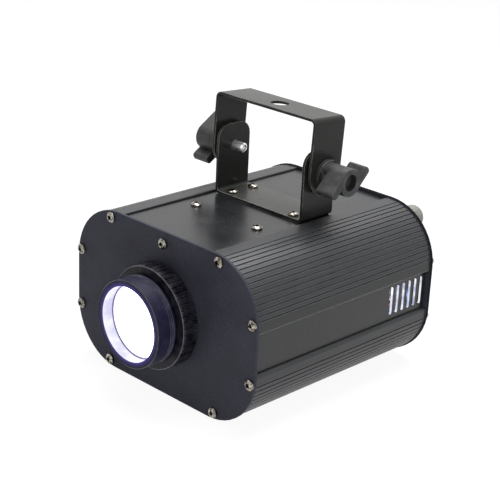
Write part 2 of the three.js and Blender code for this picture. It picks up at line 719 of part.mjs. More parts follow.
function wing() {
  const inner = KNOB_BOSS_RADIUS - KNOB_WING_THICKNESS;
  const roundY = KNOB_WING_REACH - KNOB_WING_CORNER;
  const shape = new THREE.Shape();
  shape.moveTo(0, -inner);
  shape.lineTo(0, -KNOB_BOSS_RADIUS);
  shape.absarc(roundY, KNOB_WING_CORNER - KNOB_BOSS_RADIUS, KNOB_WING_CORNER, -SQUARE_TURN, 0);
  shape.absarc(roundY, -inner - KNOB_WING_CORNER, KNOB_WING_CORNER, 0, SQUARE_TURN);
  shape.closePath();
  return runX(shape, knobStart + KNOB_LENGTH - KNOB_WING_LENGTH, knobStart + KNOB_LENGTH);
}

function knobGeometry() {
  const end = knobStart + KNOB_LENGTH;
  const recessFloor = end - KNOB_RECESS_DEPTH;
  const boss = barX(KNOB_BOSS_RADIUS, knobStart, end);
  const foot = barX(KNOB_FOOT_RADIUS, knobStart, knobStart + KNOB_FOOT_LENGTH);
  const recess = barX(KNOB_RECESS_RADIUS, recessFloor, end + OVERRUN);
  const bore = barX(STUD_RADIUS + SLIDE_GAP, knobStart - OVERRUN, recessFloor - KNOB_FLOOR);
  return cut(join(boss, foot, wing(), wing().rotateX(HALF_TURN)), recess, bore);
}

function studGeometry() {
  const inner = bracketHalfWidth - BRACKET_SHEET - STUD_REACH;
  const outer = knobStart + KNOB_LENGTH - KNOB_RECESS_DEPTH - KNOB_FLOOR - SLIDE_GAP;
  return turnX(
    [
      [0, inner],
      [STUD_RADIUS - STUD_CHAMFER, inner],
      [STUD_RADIUS, inner + STUD_CHAMFER],
      [STUD_RADIUS, outer],
      [0, outer],
    ],
    PIN_SIDES,
  );
}

function addClamps() {
  const washer = cut(
    barX(WASHER_RADIUS, bracketHalfWidth + SLIDE_GAP, bracketHalfWidth + YOKE_ARM_GAP - SLIDE_GAP),
    barX(STUD_RADIUS + SLIDE_GAP, 0, yokeHalfWidth),
  );
  const sides = [
    ["right", 0, RIGHT_KNOB_DEG],
    ["left", HALF_TURN, LEFT_KNOB_DEG],
  ];
  for (const [side, turn, knobAngle] of sides) {
    const clamp = new THREE.Group();
    clamp.position.set(0, pivotY, pivotZ);
    clamp.rotation.z = turn;
    housing.add(clamp);
    add(clamp, `${side}_friction_washer`, washer, fibreWasher);
    add(clamp, `${side}_clamp_knob`, knobGeometry(), blackNylon).rotation.x = degrees(knobAngle);
    add(clamp, `${side}_clamp_stud`, studGeometry(), zincSteel);
  }
}

// Focus ring, the guide sleeve that it turns on, and the lens barrel that slides in the sleeve

function ringShape() {
  const points = [];
  const step = FULL_TURN / RING_RIB_COUNT;
  const low = ringRadius - RING_RIB_DEPTH;
  const riseShare = 0.3;
  const fallShare = 0.7;
  const corners = [
    [0, low],
    [riseShare, ringRadius],
    [fallShare, ringRadius],
  ];
  for (let i = 0; i < RING_RIB_COUNT; i += 1)
    for (const [stepShare, radius] of corners) {
      const angle = (i + stepShare) * step;
      points.push([radius * Math.cos(angle), radius * Math.sin(angle)]);
    }
  return polygon(points);
}

function addFocusRing() {
  const front = -SLIDE_GAP - RING_LENGTH;
  const blank = runY(ringShape(), front, -SLIDE_GAP);
  const bore = barY(guideRadius + SLIDE_GAP, front + RING_COLLAR, OVERRUN, 0, 0, ROUND_SIDES);
  const mouth = barY(neckSlide, front - OVERRUN, OVERRUN, 0, 0, ROUND_SIDES);
  add(housing, "focus_ring", cut(blank, bore, mouth), blackAnodised);
}

function addBarrelGuide() {
  const front = -SLIDE_GAP - RING_LENGTH + RING_COLLAR + SLIDE_GAP;
  const flangeEnd = shellFront + GUIDE_FLANGE;
  const tube = barY(guideRadius, front, flangeEnd + GUIDE_INNER_REACH, 0, 0, ROUND_SIDES);
  const flange = barY(guideRadius + GUIDE_FLANGE_STEP, shellFront, flangeEnd, 0, 0, ROUND_SIDES);
  const tab = block(
    [-GUIDE_TAB_HALF_WIDTH, GUIDE_TAB_HALF_WIDTH],
    [shellFront, flangeEnd],
    [0, centreScrewZ + GUIDE_TAB_RISE],
  );
  const bore = barY(neckSlide, front - OVERRUN, HOUSING_LENGTH, 0, 0, ROUND_SIDES);
  const screw = barY(screwHole, 0, flangeEnd + OVERRUN, 0, centreScrewZ, SMALL_SIDES);
  add(housing, "barrel_guide", cut(join(tube, flange, tab), bore, screw), blackAnodised);
}

function addBarrel() {
  const mouth = -BARREL_REACH;
  const cellEnd = mouth + BARREL_CELL_LENGTH;
  const seat = mouth + BARREL_MOUTH_DEPTH;
  const boreRadius = BARREL_NECK_RADIUS - BARREL_WALL;
  const barrel = turnY([
    [mouthRadius, mouth],
    [barrelRadius - BARREL_EDGE, mouth],
    [barrelRadius, mouth + BARREL_EDGE],
    [barrelRadius, cellEnd],
    [BARREL_NECK_RADIUS, cellEnd],
    [BARREL_NECK_RADIUS, BARREL_TAIL],
    [boreRadius, BARREL_TAIL],
    [boreRadius, seat],
    [mouthRadius, seat],
    [mouthRadius, mouth],
  ]);
  add(housing, "lens_barrel", barrel, blackAnodised);
  const back = seat - SEAT_GAP;
  const edge = back - LENS_EDGE;
  const lensRadius = mouthRadius - LENS_RIM_GAP;
  const crown = crownPoints(lensRadius, LENS_CROWN).map(([r, rise]) => [r, edge - rise]);
  add(housing, "objective_lens", turnY([...crown, [lensRadius, back], [0, back]]), opticalGlass);
}

// A shallow dome's profile from its top to its rim: a circle through both
function crownPoints(radius, crown) {
  const sphere = (radius ** 2 + crown ** 2) / (2 * crown);
  return Array.from({ length: CROWN_STEPS + 1 }, (_, i) => {
    const r = (radius * i) / CROWN_STEPS;
    return [r, crown - sphere + Math.sqrt(sphere ** 2 - r ** 2)];
  });
}

// Optics bracket, hung from the top panel: a plate across the beam with a flange, two arms for
// the heat sink and a sleeve for the condenser

const plateBack = OPTICS_PLATE_Y + OPTICS_SHEET;
const opticsHalfWidth = WHEEL_PITCH_RADIUS + MOTOR_RADIUS + OPTICS_MOTOR_GAP + OPTICS_SHEET;
const sinkFront = plateBack + SINK_STAND_OFF;
const sinkHalfWidth = opticsHalfWidth - OPTICS_SHEET - SLIDE_GAP;

function addOpticsBracket() {
  const flangeTop = panelTop - PANEL_SHEET - SEAT_GAP;
  const sheetSpan = [OPTICS_PLATE_Y, plateBack];
  const plate = block(around(0, opticsHalfWidth), sheetSpan, [-OPTICS_DROP, OPTICS_SHOULDER]);
  const betweenRails = around(0, bracketHalfWidth);
  const riser = block(betweenRails, sheetSpan, [0, flangeTop]);
  const flangeSpan = [OPTICS_PLATE_Y, OPTICS_PLATE_Y + OPTICS_FLANGE];
  const flange = block(betweenRails, flangeSpan, [flangeTop - OPTICS_SHEET, flangeTop]);
  const arms = [-1, 1].map((side) =>
    block(
      around(side * (opticsHalfWidth - OPTICS_SHEET / 2), OPTICS_SHEET / 2),
      [OPTICS_PLATE_Y, OPTICS_PLATE_Y + OPTICS_ARM_LENGTH],
      around(0, OPTICS_ARM_HALF_HEIGHT),
    ),
  );
  const sleeveRadius = CONDENSER_RADIUS + SLIDE_GAP + SLEEVE_WALL;
  const sleeve = barY(sleeveRadius, OPTICS_PLATE_Y, plateBack + SLEEVE_LENGTH);
  const sleeveBore = barY(CONDENSER_RADIUS + SLIDE_GAP, plateBack, HOUSING_LENGTH);
  const aperture = barY(BEAM_RADIUS, 0, HOUSING_LENGTH);
  const shaftHole = barY(MOTOR_SHAFT_RADIUS + SLIDE_GAP, 0, HOUSING_LENGTH, -WHEEL_PITCH_RADIUS, 0);
  const holes = panelScrewPlaces().map(({ x, y }) =>
    barZ(screwHole, flangeTop - OPTICS_SHEET - OVERRUN, flangeTop + OVERRUN, x, y, SMALL_SIDES),
  );
  const whole = join(plate, riser, flange, ...arms, sleeve);
  add(housing, "optics_bracket", cut(whole, sleeveBore, aperture, shaftHole, ...holes), bareAluminium);
}

function addLightSource() {
  const condenserStart = plateBack + SLIDE_GAP;
  const condenserEnd = condenserStart + CONDENSER_THICKNESS;
  const rim = CONDENSER_THICKNESS / 2;
  const crown = crownPoints(CONDENSER_RADIUS, rim).map(([r, rise]) => [r, condenserEnd - rim + rise]);
  const flatFace = [
    [0, condenserStart],
    [CONDENSER_RADIUS, condenserStart],
  ];
  add(housing, "condenser_lens", turnY([...flatFace, ...crown.reverse()], PIN_SIDES), opticalGlass);

  const boardBack = sinkFront - SEAT_GAP;
  const boardFront = boardBack - LED_BOARD_SHEET;
  const board = barY(LED_BOARD_RADIUS, boardFront, boardBack, 0, 0, HEX_SIDES);
  const dome = new THREE.SphereGeometry(LED_DOME_RADIUS, SMALL_SIDES, SMALL_SIDES);
  dome.translate(0, boardFront, 0);
  const behind = barY(LED_BOARD_RADIUS, boardBack, sinkFront + SINK_BASE);
  add(housing, "led_board", cut(join(board, dome), behind), circuitBoard);

  const baseEnd = sinkFront + SINK_BASE;
  const across = [-sinkHalfWidth, sinkHalfWidth];
  const upright = around(0, panelTop - SINK_HEADROOM);
  const base = block(across, [sinkFront, baseEnd], upright);
  const spacing = (2 * sinkHalfWidth - SINK_FIN) / (SINK_FIN_COUNT - 1);
  const fins = Array.from({ length: SINK_FIN_COUNT }, (_, i) => {
    const start = -sinkHalfWidth + i * spacing;
    return block([start, start + SINK_FIN], [sinkFront, sinkFront + SINK_DEPTH], upright);
  });
  add(housing, "heat_sink", join(base, ...fins), bareAluminium);
}

// Gobo wheel and motor, beside the beam so that each gobo in turn stands in it

function addGoboWheel() {
  const back = OPTICS_PLATE_Y - WHEEL_GAP;
  const front = back - WHEEL_SHEET;
  const disc = barY(WHEEL_RADIUS, front, back, 0, 0, ROUND_SIDES);
  const hub = barY(WHEEL_HUB_RADIUS, front - WHEEL_HUB_LENGTH, back);
  const bore = barY(MOTOR_SHAFT_RADIUS + SLIDE_GAP, 0, HOUSING_LENGTH);
  const wheel = cut(join(disc, hub), bore, ...goboHoles(front, back));
  add(housing, "gobo_wheel", wheel, blackPowderCoat).position.x = -WHEEL_PITCH_RADIUS;
}

// One open aperture, then rings of three, four and five round spots, twice over
function goboHoles(front, back) {
  const span = [front - OVERRUN, back + OVERRUN];
  const spotCounts = [3, 4, 5];
  const reach = GOBO_RADIUS * GOBO_RING_SHARE;
  const spotRadius = GOBO_RADIUS * GOBO_SPOT_SHARE;
  const holes = [];
  for (let i = 0; i < GOBO_COUNT; i += 1) {
    const turn = (i * FULL_TURN) / GOBO_COUNT;
    const x = WHEEL_PITCH_RADIUS * Math.cos(turn);
    const z = WHEEL_PITCH_RADIUS * Math.sin(turn);
    if (i === 0) holes.push(barY(GOBO_RADIUS, ...span, x, z));
    else
      for (const spot of arcPoints(x, z, reach, 0, FULL_TURN, spotCounts[i % spotCounts.length]).slice(1))
        holes.push(barY(spotRadius, ...span, spot.x, spot.y, HEX_SIDES));
  }
  return holes;
}

function addGoboMotor() {
  const start = plateBack + SEAT_GAP;
  const shaftStart = OPTICS_PLATE_Y - WHEEL_GAP - WHEEL_SHEET - WHEEL_HUB_LENGTH;
  const motor = turnY(
    [
      [0, shaftStart],
      [MOTOR_SHAFT_RADIUS, shaftStart],
      [MOTOR_SHAFT_RADIUS, start],
      [MOTOR_RADIUS, start],
      [MOTOR_RADIUS, start + MOTOR_LENGTH],
      [0, start + MOTOR_LENGTH],
    ],
    PIN_SIDES,
  );
  add(housing, "gobo_motor", motor, motorSteel).position.x = -WHEEL_PITCH_RADIUS;
}

// Fan inside the rear plate

function addFan() {
  const rear = shellRear;
  const front = rear - FAN_DEPTH;
  const spiderEnd = front + FAN_SPIDER;
  const half = FAN_SIZE / 2;
  const frame = cut(
    block([-half, half], [front, rear], [-half, half]),
    barY(FAN_BORE_RADIUS, front - OVERRUN, rear + OVERRUN, 0, 0, ROUND_SIDES),
  );
  const struts = Array.from({ length: FAN_STRUT_COUNT }, (_, i) =>
    block([0, FAN_BORE_RADIUS + OVERRUN], [front, spiderEnd], around(0, FAN_STRUT / 2)).rotateY(
      (i * FULL_TURN) / FAN_STRUT_COUNT,
    ),
  );
  const motorMount = barY(FAN_HUB_RADIUS, front, spiderEnd);
  const pin = barY(MOTOR_SHAFT_RADIUS, front, spiderEnd + FAN_HUB_LENGTH / 2);
  add(housing, "fan_frame", join(frame, ...struts, motorMount, pin), blackAbs);

  const hubStart = spiderEnd + SLIDE_GAP;
  const hub = barY(FAN_HUB_RADIUS, hubStart, hubStart + FAN_HUB_LENGTH);
  const bladeMiddle = hubStart + FAN_HUB_LENGTH / 2;
  const bladeTip = Math.sqrt((FAN_BORE_RADIUS - 2 * SLIDE_GAP) ** 2 - (FAN_BLADE_CHORD / 2) ** 2);
  const bladeSpan = [FAN_HUB_RADIUS - OVERRUN, bladeTip];
  const blades = Array.from({ length: FAN_BLADE_COUNT }, (_, i) =>
    block(bladeSpan, around(0, FAN_BLADE_SHEET / 2), around(0, FAN_BLADE_CHORD / 2))
      .rotateX(degrees(FAN_BLADE_PITCH_DEG))
      .rotateY((i * FULL_TURN) / FAN_BLADE_COUNT)
      .translate(0, bladeMiddle, 0),
  );
  const bore = barY(MOTOR_SHAFT_RADIUS + SLIDE_GAP, hubStart - OVERRUN, bladeMiddle + SLIDE_GAP);
  add(housing, "fan_rotor", cut(join(hub, ...blades), bore), blackAbs);
}

// Power board on its posts over the bottom panel

function addPowerBoard() {
  const floor = PANEL_SHEET - panelTop + SEAT_GAP;
  const under = floor + BOARD_STAND_OFF;
  const top = under + BOARD_SHEET;
  const end = shellRear - BOARD_END_GAP;
  const halfWidth = topLipX + BOARD_LIP_LAP;
  const board = block(around(0, halfWidth), [BOARD_START_Y, end], [under, top]);
  const postX = halfWidth - BOARD_POST_INSET;
  const posts = [-postX, postX].flatMap((x) =>
    [BOARD_START_Y + BOARD_POST_INSET, end - BOARD_POST_INSET].map((y) =>
      barZ(BOARD_POST_RADIUS, floor, top, x, y, SMALL_SIDES),
    ),
  );
  const middleY = (BOARD_START_Y + end) / 2;
  const transformer = block(
    [-TRANSFORMER_WIDTH, 0],
    around(middleY, TRANSFORMER_LENGTH / 2),
    [under, top + TRANSFORMER_HEIGHT],
  );
  const capacitors = Array.from({ length: CAPACITOR_COUNT }, (_, i) => {
    const y = middleY + (i - (CAPACITOR_COUNT - 1) / 2) * CAPACITOR_PITCH;
    return barZ(CAPACITOR_RADIUS, under, top + CAPACITOR_HEIGHT, halfWidth / 2, y, SMALL_SIDES);
  });
  add(housing, "power_board", join(board, ...posts, transformer, ...capacitors), circuitBoard);
}

// Cable gland in the rear plate: hexagonal body with its lock nut, and a domed nut on its spigot

function addGland() {
  const seat = HOUSING_LENGTH + SEAT_GAP;
  const hexEnd = seat + GLAND_HEX_LENGTH;
  const spigotEnd = hexEnd + GLAND_SPIGOT_LENGTH;
  const lockEnd = plateRear - SEAT_GAP;
  const lockStart = lockEnd - GLAND_LOCK_LENGTH;
  const body = cut(
    join(
      barY(GLAND_HEX_RADIUS, lockStart, lockEnd, 0, 0, HEX_SIDES),
      barY(GLAND_THREAD_RADIUS, lockStart, hexEnd),
      barY(GLAND_HEX_RADIUS, seat, hexEnd, 0, 0, HEX_SIDES),
      barY(GLAND_SPIGOT_RADIUS, seat, spigotEnd),
    ),
    barY(GLAND_BORE_RADIUS, 0, HOUSING_LENGTH * 2),
  );
  add(housing, "cable_gland_body", body, greyNylon).position.set(glandX, 0, glandZ);

  const start = hexEnd + SEAT_GAP;
  const end = start + GLAND_NUT_LENGTH;
  const bore = GLAND_SPIGOT_RADIUS + SLIDE_GAP;
  const roundAt = [GLAND_NUT_RADIUS - GLAND_NUT_ROUND, end - GLAND_NUT_ROUND];
  const round = arcPoints(...roundAt, GLAND_NUT_ROUND, 0, SQUARE_TURN, CROWN_STEPS);
  const dome = round.map(({ x, y }) => [x, y]);
  const nut = turnY(
    [
      [bore, start],
      [GLAND_NUT_RADIUS, start],
      ...dome,
      [GLAND_BORE_RADIUS, end],
      [GLAND_BORE_RADIUS, spigotEnd + SLIDE_GAP],
      [bore, spigotEnd + SLIDE_GAP],
      [bore, start],
    ],
    PIN_SIDES,
  );
  add(housing, "cable_gland_nut", nut, greyNylon).position.set(glandX, 0, glandZ);
}

// Rocker switch: a snap-in frame and a rocker on a cross pivot

function addSwitch() {
  const face = HOUSING_LENGTH + SEAT_GAP + SWITCH_FLANGE;
  const flange = block(
    around(0, SWITCH_FLANGE_WIDTH / 2),
    [HOUSING_LENGTH + SEAT_GAP, face],
    around(0, SWITCH_FLANGE_HEIGHT / 2),
  );
  const body = block(
    around(0, SWITCH_BODY_WIDTH / 2),
    [face - SWITCH_BODY_DEPTH, face],
    around(0, SWITCH_BODY_HEIGHT / 2),
  );
  const pocket = block(
    around(0, SWITCH_BODY_WIDTH / 2 - SWITCH_WALL),
    [face - SWITCH_BODY_DEPTH + SWITCH_WALL, face + OVERRUN],
    around(0, SWITCH_BODY_HEIGHT / 2 - SWITCH_WALL),
  );
  add(housing, "switch_frame", cut(join(flange, body), pocket), blackAbs).position.set(switchX, 0, SWITCH_Z);

  const low = ROCKER_HALF_HEIGHT - ROCKER_DIP;
  const profile = polygon([
    [ROCKER_PIVOT_DEPTH + ROCKER_RISE, -ROCKER_HALF_HEIGHT],
    [ROCKER_PIVOT_DEPTH + ROCKER_RISE - ROCKER_DIP, 0],
    [ROCKER_PIVOT_DEPTH + ROCKER_RISE, ROCKER_HALF_HEIGHT],
    [ROCKER_PIVOT_DEPTH - ROCKER_SKIRT, low],
    [-ROCKER_KEEL, 0],
    [ROCKER_PIVOT_DEPTH - ROCKER_SKIRT, -low],
  ]);
  const half = SWITCH_BODY_WIDTH / 2 - SWITCH_WALL - SLIDE_GAP;
  const rocker = add(housing, "switch_rocker", runX(profile, -half, half), blackAbs);
  rocker.position.set(switchX, face - ROCKER_PIVOT_DEPTH, SWITCH_Z);
  rocker.rotation.x = degrees(ROCKER_TILT_DEG);
}

// Speed control for the gobo wheel: a potentiometer behind the plate and its knob outside

function addSpeedControl() {
  const nutEnd = HOUSING_LENGTH + SEAT_GAP + SPEED_NUT_LENGTH;
  const bodyEnd = plateRear - SEAT_GAP;
  const shaftEnd = nutEnd + SPEED_SHAFT_LENGTH;
  const pot = join(
    barY(SPEED_BODY_RADIUS, bodyEnd - SPEED_BODY_LENGTH, bodyEnd),
    barY(SPEED_BUSH_RADIUS, bodyEnd - SPEED_BODY_LENGTH, nutEnd),
    barY(SPEED_NUT_RADIUS, HOUSING_LENGTH + SEAT_GAP, nutEnd, 0, 0, HEX_SIDES),
    barY(SPEED_SHAFT_RADIUS, bodyEnd - SPEED_BODY_LENGTH, shaftEnd),
  );
  add(housing, "speed_potentiometer", pot, motorSteel).position.set(speedX, 0, speedZ);

  const start = nutEnd + SLIDE_GAP;
  const end = start + SPEED_KNOB_LENGTH;
  const grip = turnY(
    [
      [0, start],
      [SPEED_KNOB_RADIUS, start],
      [SPEED_KNOB_TOP_RADIUS, end],
      [0, end],
    ],
    PIN_SIDES,
  );
  const bore = barY(SPEED_SHAFT_RADIUS + SLIDE_GAP, start - OVERRUN, shaftEnd + SLIDE_GAP);
  add(housing, "speed_knob", cut(grip, bore), blackAbs).position.set(speedX, 0, speedZ);
}

// The whole part, with its origin under the middle of its box

addPlates();
addPlateScrews();
addCorners();
addPanels();
addBracket();
addTopScrews();
addYoke();
addClamps();
addFocusRing();
addBarrelGuide();
addBarrel();
addOpticsBracket();
addLightSource();
addGoboWheel();
addGoboMotor();
addFan();
addPowerBoard();
addGland();
addSwitch();
addSpeedControl();

const rearReach = HOUSING_LENGTH + SEAT_GAP + GLAND_HEX_LENGTH + SEAT_GAP + GLAND_NUT_LENGTH;
fixture.position.y = (BARREL_REACH - rearReach) / 2;

export default fixture;
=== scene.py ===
"""A small LED gobo projector: its finishes and fine detail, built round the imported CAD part.

The sections follow the real one as it is put together: the plates and extrusions of the
housing, its screws, the bracket, yoke and clamp knobs, the focus ring and the lens, and then
what is inside and on the rear plate. Every length is in metres, in the part's own frame.
"""

import math

import bmesh
import bpy
from mathutils import Matrix, Vector


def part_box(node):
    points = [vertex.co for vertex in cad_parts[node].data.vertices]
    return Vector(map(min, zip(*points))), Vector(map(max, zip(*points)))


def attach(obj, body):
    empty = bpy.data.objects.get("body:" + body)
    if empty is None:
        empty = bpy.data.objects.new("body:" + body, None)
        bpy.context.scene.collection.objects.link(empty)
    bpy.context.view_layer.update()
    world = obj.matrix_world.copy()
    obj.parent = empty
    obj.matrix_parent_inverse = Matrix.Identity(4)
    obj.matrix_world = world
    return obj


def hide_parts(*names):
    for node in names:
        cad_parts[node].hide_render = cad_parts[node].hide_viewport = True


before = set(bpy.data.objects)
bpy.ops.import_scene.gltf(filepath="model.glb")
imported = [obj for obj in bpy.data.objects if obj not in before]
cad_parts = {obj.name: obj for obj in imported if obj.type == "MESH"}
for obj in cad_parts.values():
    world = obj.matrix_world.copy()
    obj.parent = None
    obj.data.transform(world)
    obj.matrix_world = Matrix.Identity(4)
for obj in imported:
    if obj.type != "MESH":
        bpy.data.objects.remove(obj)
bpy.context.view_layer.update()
mm = 0.001

# The studio: a camera at the photograph's angle, one wide soft box overhead, a weaker one at
# the right, and white all round. The floor is white too and keeps a faint shadow.


def node(tree, kind, inputs=None, **settings):
    """Adds a node. Its inputs are values, or the nodes and sockets that feed them."""
    made = tree.nodes.new("ShaderNode" + kind)
    for name, value in settings.items():
        setattr(made, name, value)
    for key, value in (inputs or {}).items():
        if isinstance(value, bpy.types.Node):
            value = next(socket for socket in value.outputs if socket.enabled)
        if isinstance(value, bpy.types.NodeSocket):
            tree.links.new(value, made.inputs[key])
        else:
            made.inputs[key].default_value = value
    return made


def seen_share(tree):
    """1 for the rays that carry the backdrop: camera, mirror and glass rays. 0 for the rest."""
    rays = node(tree, "LightPath").outputs
    seen = node(tree, "Math", {0: rays["Is Camera Ray"], 1: rays["Is Glossy Ray"]}, operation="MAXIMUM")
    return node(tree, "Math", {0: seen, 1: rays["Is Transmission Ray"]}, operation="MAXIMUM")


def new_material(name):
    """A material and its empty node tree."""
    material = bpy.data.materials.new(name)
    material.use_nodes = True
    material.node_tree.nodes.clear()
    return material, material.node_tree


scene = bpy.context.scene
scene.view_settings.view_transform = "Standard"

azimuth, elevation, roll = (math.radians(angle) for angle in (44.11, 21.04, 2.72))
camera_place = (0.554675, -0.576791, 0.381847)
level = Vector((math.cos(azimuth), math.sin(azimuth), 0))
forward = Vector((math.sin(azimuth), -math.cos(azimuth), 0))
back = forward * math.cos(elevation) + Vector((0, 0, math.sin(elevation)))
upright = back.cross(level)
right = level * math.cos(roll) + upright * math.sin(roll)
up = upright * math.cos(roll) - level * math.sin(roll)
camera = bpy.data.objects.new("camera", bpy.data.cameras.new("camera"))
camera.data.lens = 97.29
camera.data.sensor_width = 36
camera.data.clip_start = 0.05
camera.data.clip_end = 20
facing = Matrix((right, up, back)).transposed().to_4x4()
camera.matrix_world = Matrix.Translation(camera_place) @ facing
scene.collection.objects.link(camera)
scene.camera = camera

world = bpy.data.worlds.new("white_studio")
world.use_nodes = True
sky = world.node_tree
sky.nodes.clear()
fill_light = node(sky, "Background", {"Color": (0.93, 0.96, 1, 1), "Strength": 0.28})
backdrop = node(sky, "Background", {"Color": (1, 1, 1, 1), "Strength": 1})
mixed_sky = node(sky, "MixShader", {0: seen_share(sky), 1: fill_light, 2: backdrop})
node(sky, "OutputWorld", {"Surface": mixed_sky})
scene.world = world

aim = Vector((0, 0, 0.06))
soft_boxes = (
    ("overhead_soft_box", (-0.1, 0.25, 1.05), 0.9, 17),
    ("right_soft_box", (0.9, -0.6, 0.5), 0.5, 3.4),
)
for name, place, size, watts in soft_boxes:
    lamp = bpy.data.lights.new(name, "AREA")
    lamp.shape = "DISK"
    lamp.size = size
    lamp.energy = watts
    holder = bpy.data.objects.new(name, lamp)
    holder.location = place
    holder.rotation_euler = (aim - Vector(place)).to_track_quat("-Z", "Y").to_euler()
    scene.collection.objects.link(holder)

# White paper under white light. It glows for the rays that carry the backdrop, but for the
# share that lets the object's shadow show.
floor_half = 4
shadow_share = 0.14
paper_glow = 1.07
floor_paper, paper = new_material("white_paper_floor")
matt = node(paper, "BsdfDiffuse", {"Color": (0.9, 0.9, 0.9, 1)})
glow = node(paper, "Emission", {"Color": (1, 1, 1, 1), "Strength": paper_glow})
share = node(paper, "Math", {0: seen_share(paper), 1: 1 - shadow_share}, operation="MULTIPLY")
mixed_floor = node(paper, "MixShader", {0: share, 1: matt, 2: glow})
node(paper, "OutputMaterial", {"Surface": mixed_floor})
sheet = bmesh.new()
bmesh.ops.create_grid(sheet, x_segments=8, y_segments=8, size=floor_half)
floor = bpy.data.objects.new("floor", bpy.data.meshes.new("floor"))
sheet.to_mesh(floor.data)
sheet.free()
floor.data.materials.append(floor_paper)
scene.collection.objects.link(floor)

# End plates: two sheets of 2 mm steel with rounded corners, punched, then powder coated a
# fine satin black with a trace of blue. Screws hold them on the ends of the extrusions.


def linear(colour):
    """An sRGB hex colour as linear red, green, blue and alpha."""
    shares = [int(colour[i : i + 2], 16) / 255 for i in (1, 3, 5)]
    return [s / 12.92 if s <= 0.04045 else ((s + 0.055) / 1.055) ** 2.4 for s in shares] + [1]


def shade(tree, sockets):
    """Ends a material with its shader, whose sockets hold these values or are fed by these nodes."""
    shader = node(tree, "BsdfPrincipled", sockets)
    node(tree, "OutputMaterial", {"Surface": shader})


def edge_wear(tree, width, amount, grain, spared=0.4):
    """How rubbed a point is: nothing on the flats, up to amount along edges, but for spared patches."""
    rounded = node(tree, "Bevel", {"Radius": width}, samples=4)
    true = node(tree, "NewGeometry").outputs["Normal"]
    turn = node(tree, "VectorMath", {0: rounded, 1: true}, operation="DOT_PRODUCT")
    edge = node(tree, "MapRange", {"Value": turn, "From Min": 0.995, "From Max": 0.9, "To Max": amount})
    patch = node(tree, "MapRange", {"Value": grain, "From Min": spared, "From Max": spared + 0.22})
    return node(tree, "Math", {0: edge, 1: patch}, operation="MULTIPLY")


def powder_coat(name, colour, paler, rubbed, roughness, gloss, edge_rub=0.5):
    """Polyester powder melted on steel: a fine orange peel, slow changes of tone and gloss,
    edges rubbed paler, and now and then a speck of lint."""
    peel_size, grain_size, patch_size, lint_spacing = 0.6 * mm, 1.4 * mm, 22 * mm, 11 * mm
    material, tree = new_material(name)
    place = node(tree, "TexCoord").outputs["Object"]
    peel = node(tree, "TexNoise", {"Vector": place, "Scale": 1 / peel_size, "Detail": 2})
    grain = node(tree, "TexNoise", {"Vector": place, "Scale": 1 / grain_size, "Detail": 3})
    patches = node(tree, "TexNoise", {"Vector": place, "Scale": 1 / patch_size, "Detail": 4})
    uneven = node(tree, "Math", {0: grain, 1: patches}, operation="ADD")
    tone = node(tree, "MapRange", {"Value": uneven, "From Min": 0.55, "From Max": 1.45})
    coat = node(tree, "Mix", {"Factor": tone, "A": linear(colour), "B": linear(paler)}, data_type="RGBA")
    lint = node(tree, "TexVoronoi", {"Vector": place, "Scale": 1 / lint_spacing})
    speck = node(tree, "MapRange", {"Value": lint, "From Min": 0.03, "From Max": 0.02, "To Max": 0.1})
    wear = edge_wear(tree, 0.5 * mm, edge_rub, patches)
    bare = node(tree, "Math", {0: wear, 1: speck}, operation="MAXIMUM")
    worn_coat = node(tree, "Mix", {"Factor": bare, "A": coat, "B": linear(rubbed)}, data_type="RGBA")
    gloss_spread = {"To Min": roughness - 0.05, "To Max": roughness + 0.05}
    matt = node(tree, "MapRange", {"Value": patches, "From Min": 0.3, "From Max": 0.7, **gloss_spread})
    bump = node(tree, "Bump", {"Height": peel, "Strength": 0.35, "Distance": 0.03 * mm})
    shade(tree, {"Base Color": worn_coat, "Roughness": matt, "Specular IOR Level": gloss, "Normal": bump})
    return material


def finished(name, shape, material, body, slot, *stands_for):
    """A shown piece from a shape that is in place. It stands for the CAD nodes it names."""
    bmesh.ops.remove_doubles(shape, verts=shape.verts, dist=0.002 * mm)
    bmesh.ops.recalc_face_normals(shape, faces=shape.faces)
    mesh = bpy.data.meshes.new(name)
    shape.to_mesh(mesh)
    shape.free()
    mesh.materials.append(material)
    mesh.shade_smooth()
    mesh.set_sharp_from_angle(angle=math.radians(35))
    made = bpy.data.objects.new(name, mesh)
    scene.collection.objects.link(made)
    flat = made.modifiers.new("flat_faces_stay_flat", "WEIGHTED_NORMAL")
    flat.keep_sharp = True
    flat.weight = 100
    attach(made, body)
    if stands_for:
        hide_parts(*stands_for)
    return made


def refinish(piece, material, picks):
    """Puts one more finish on a piece, over the faces that picks says yes to."""
    piece.data.materials.append(material)
    for face in piece.data.polygons:
        if picks(face):
            face.material_index = len(piece.data.materials) - 1


def solid_copy(cad_node):
    """A node's shape with its loose triangles merged into whole faces."""
    shape = bmesh.new()
    shape.from_mesh(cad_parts[cad_node].data)
    bmesh.ops.remove_doubles(shape, verts=shape.verts, dist=0.002 * mm)
    bmesh.ops.dissolve_limit(shape, angle_limit=math.radians(0.5), verts=shape.verts, edges=shape.edges)
    return shape


def round_off(shape, edges, width, segments=2):
    """Rounds these edges to a radius of about width."""
    bmesh.ops.bevel(
        shape,
        geom=edges,
        offset=width,
        offset_type="OFFSET",
        segments=segments,
        profile=0.5,
        affect="EDGES",
        clamp_overlap=True,
        material=-1,
    )


def soften(shape, width, segments=2):
    """Rounds every outer edge that turns more than 40 degrees."""
    least_turn = math.radians(40)
    sharp = [e for e in shape.edges if e.is_convex and e.calc_face_angle() > least_turn]
    round_off(shape, sharp, width, segments)


def cut_across(shape, place, way):
    """Cuts every face that the plane through place, square to way, goes through."""
    everything = shape.verts[:] + shape.edges[:] + shape.faces[:]
    bmesh.ops.bisect_plane(shape, geom=everything, dist=0.001 * mm, plane_co=place, plane_no=way)


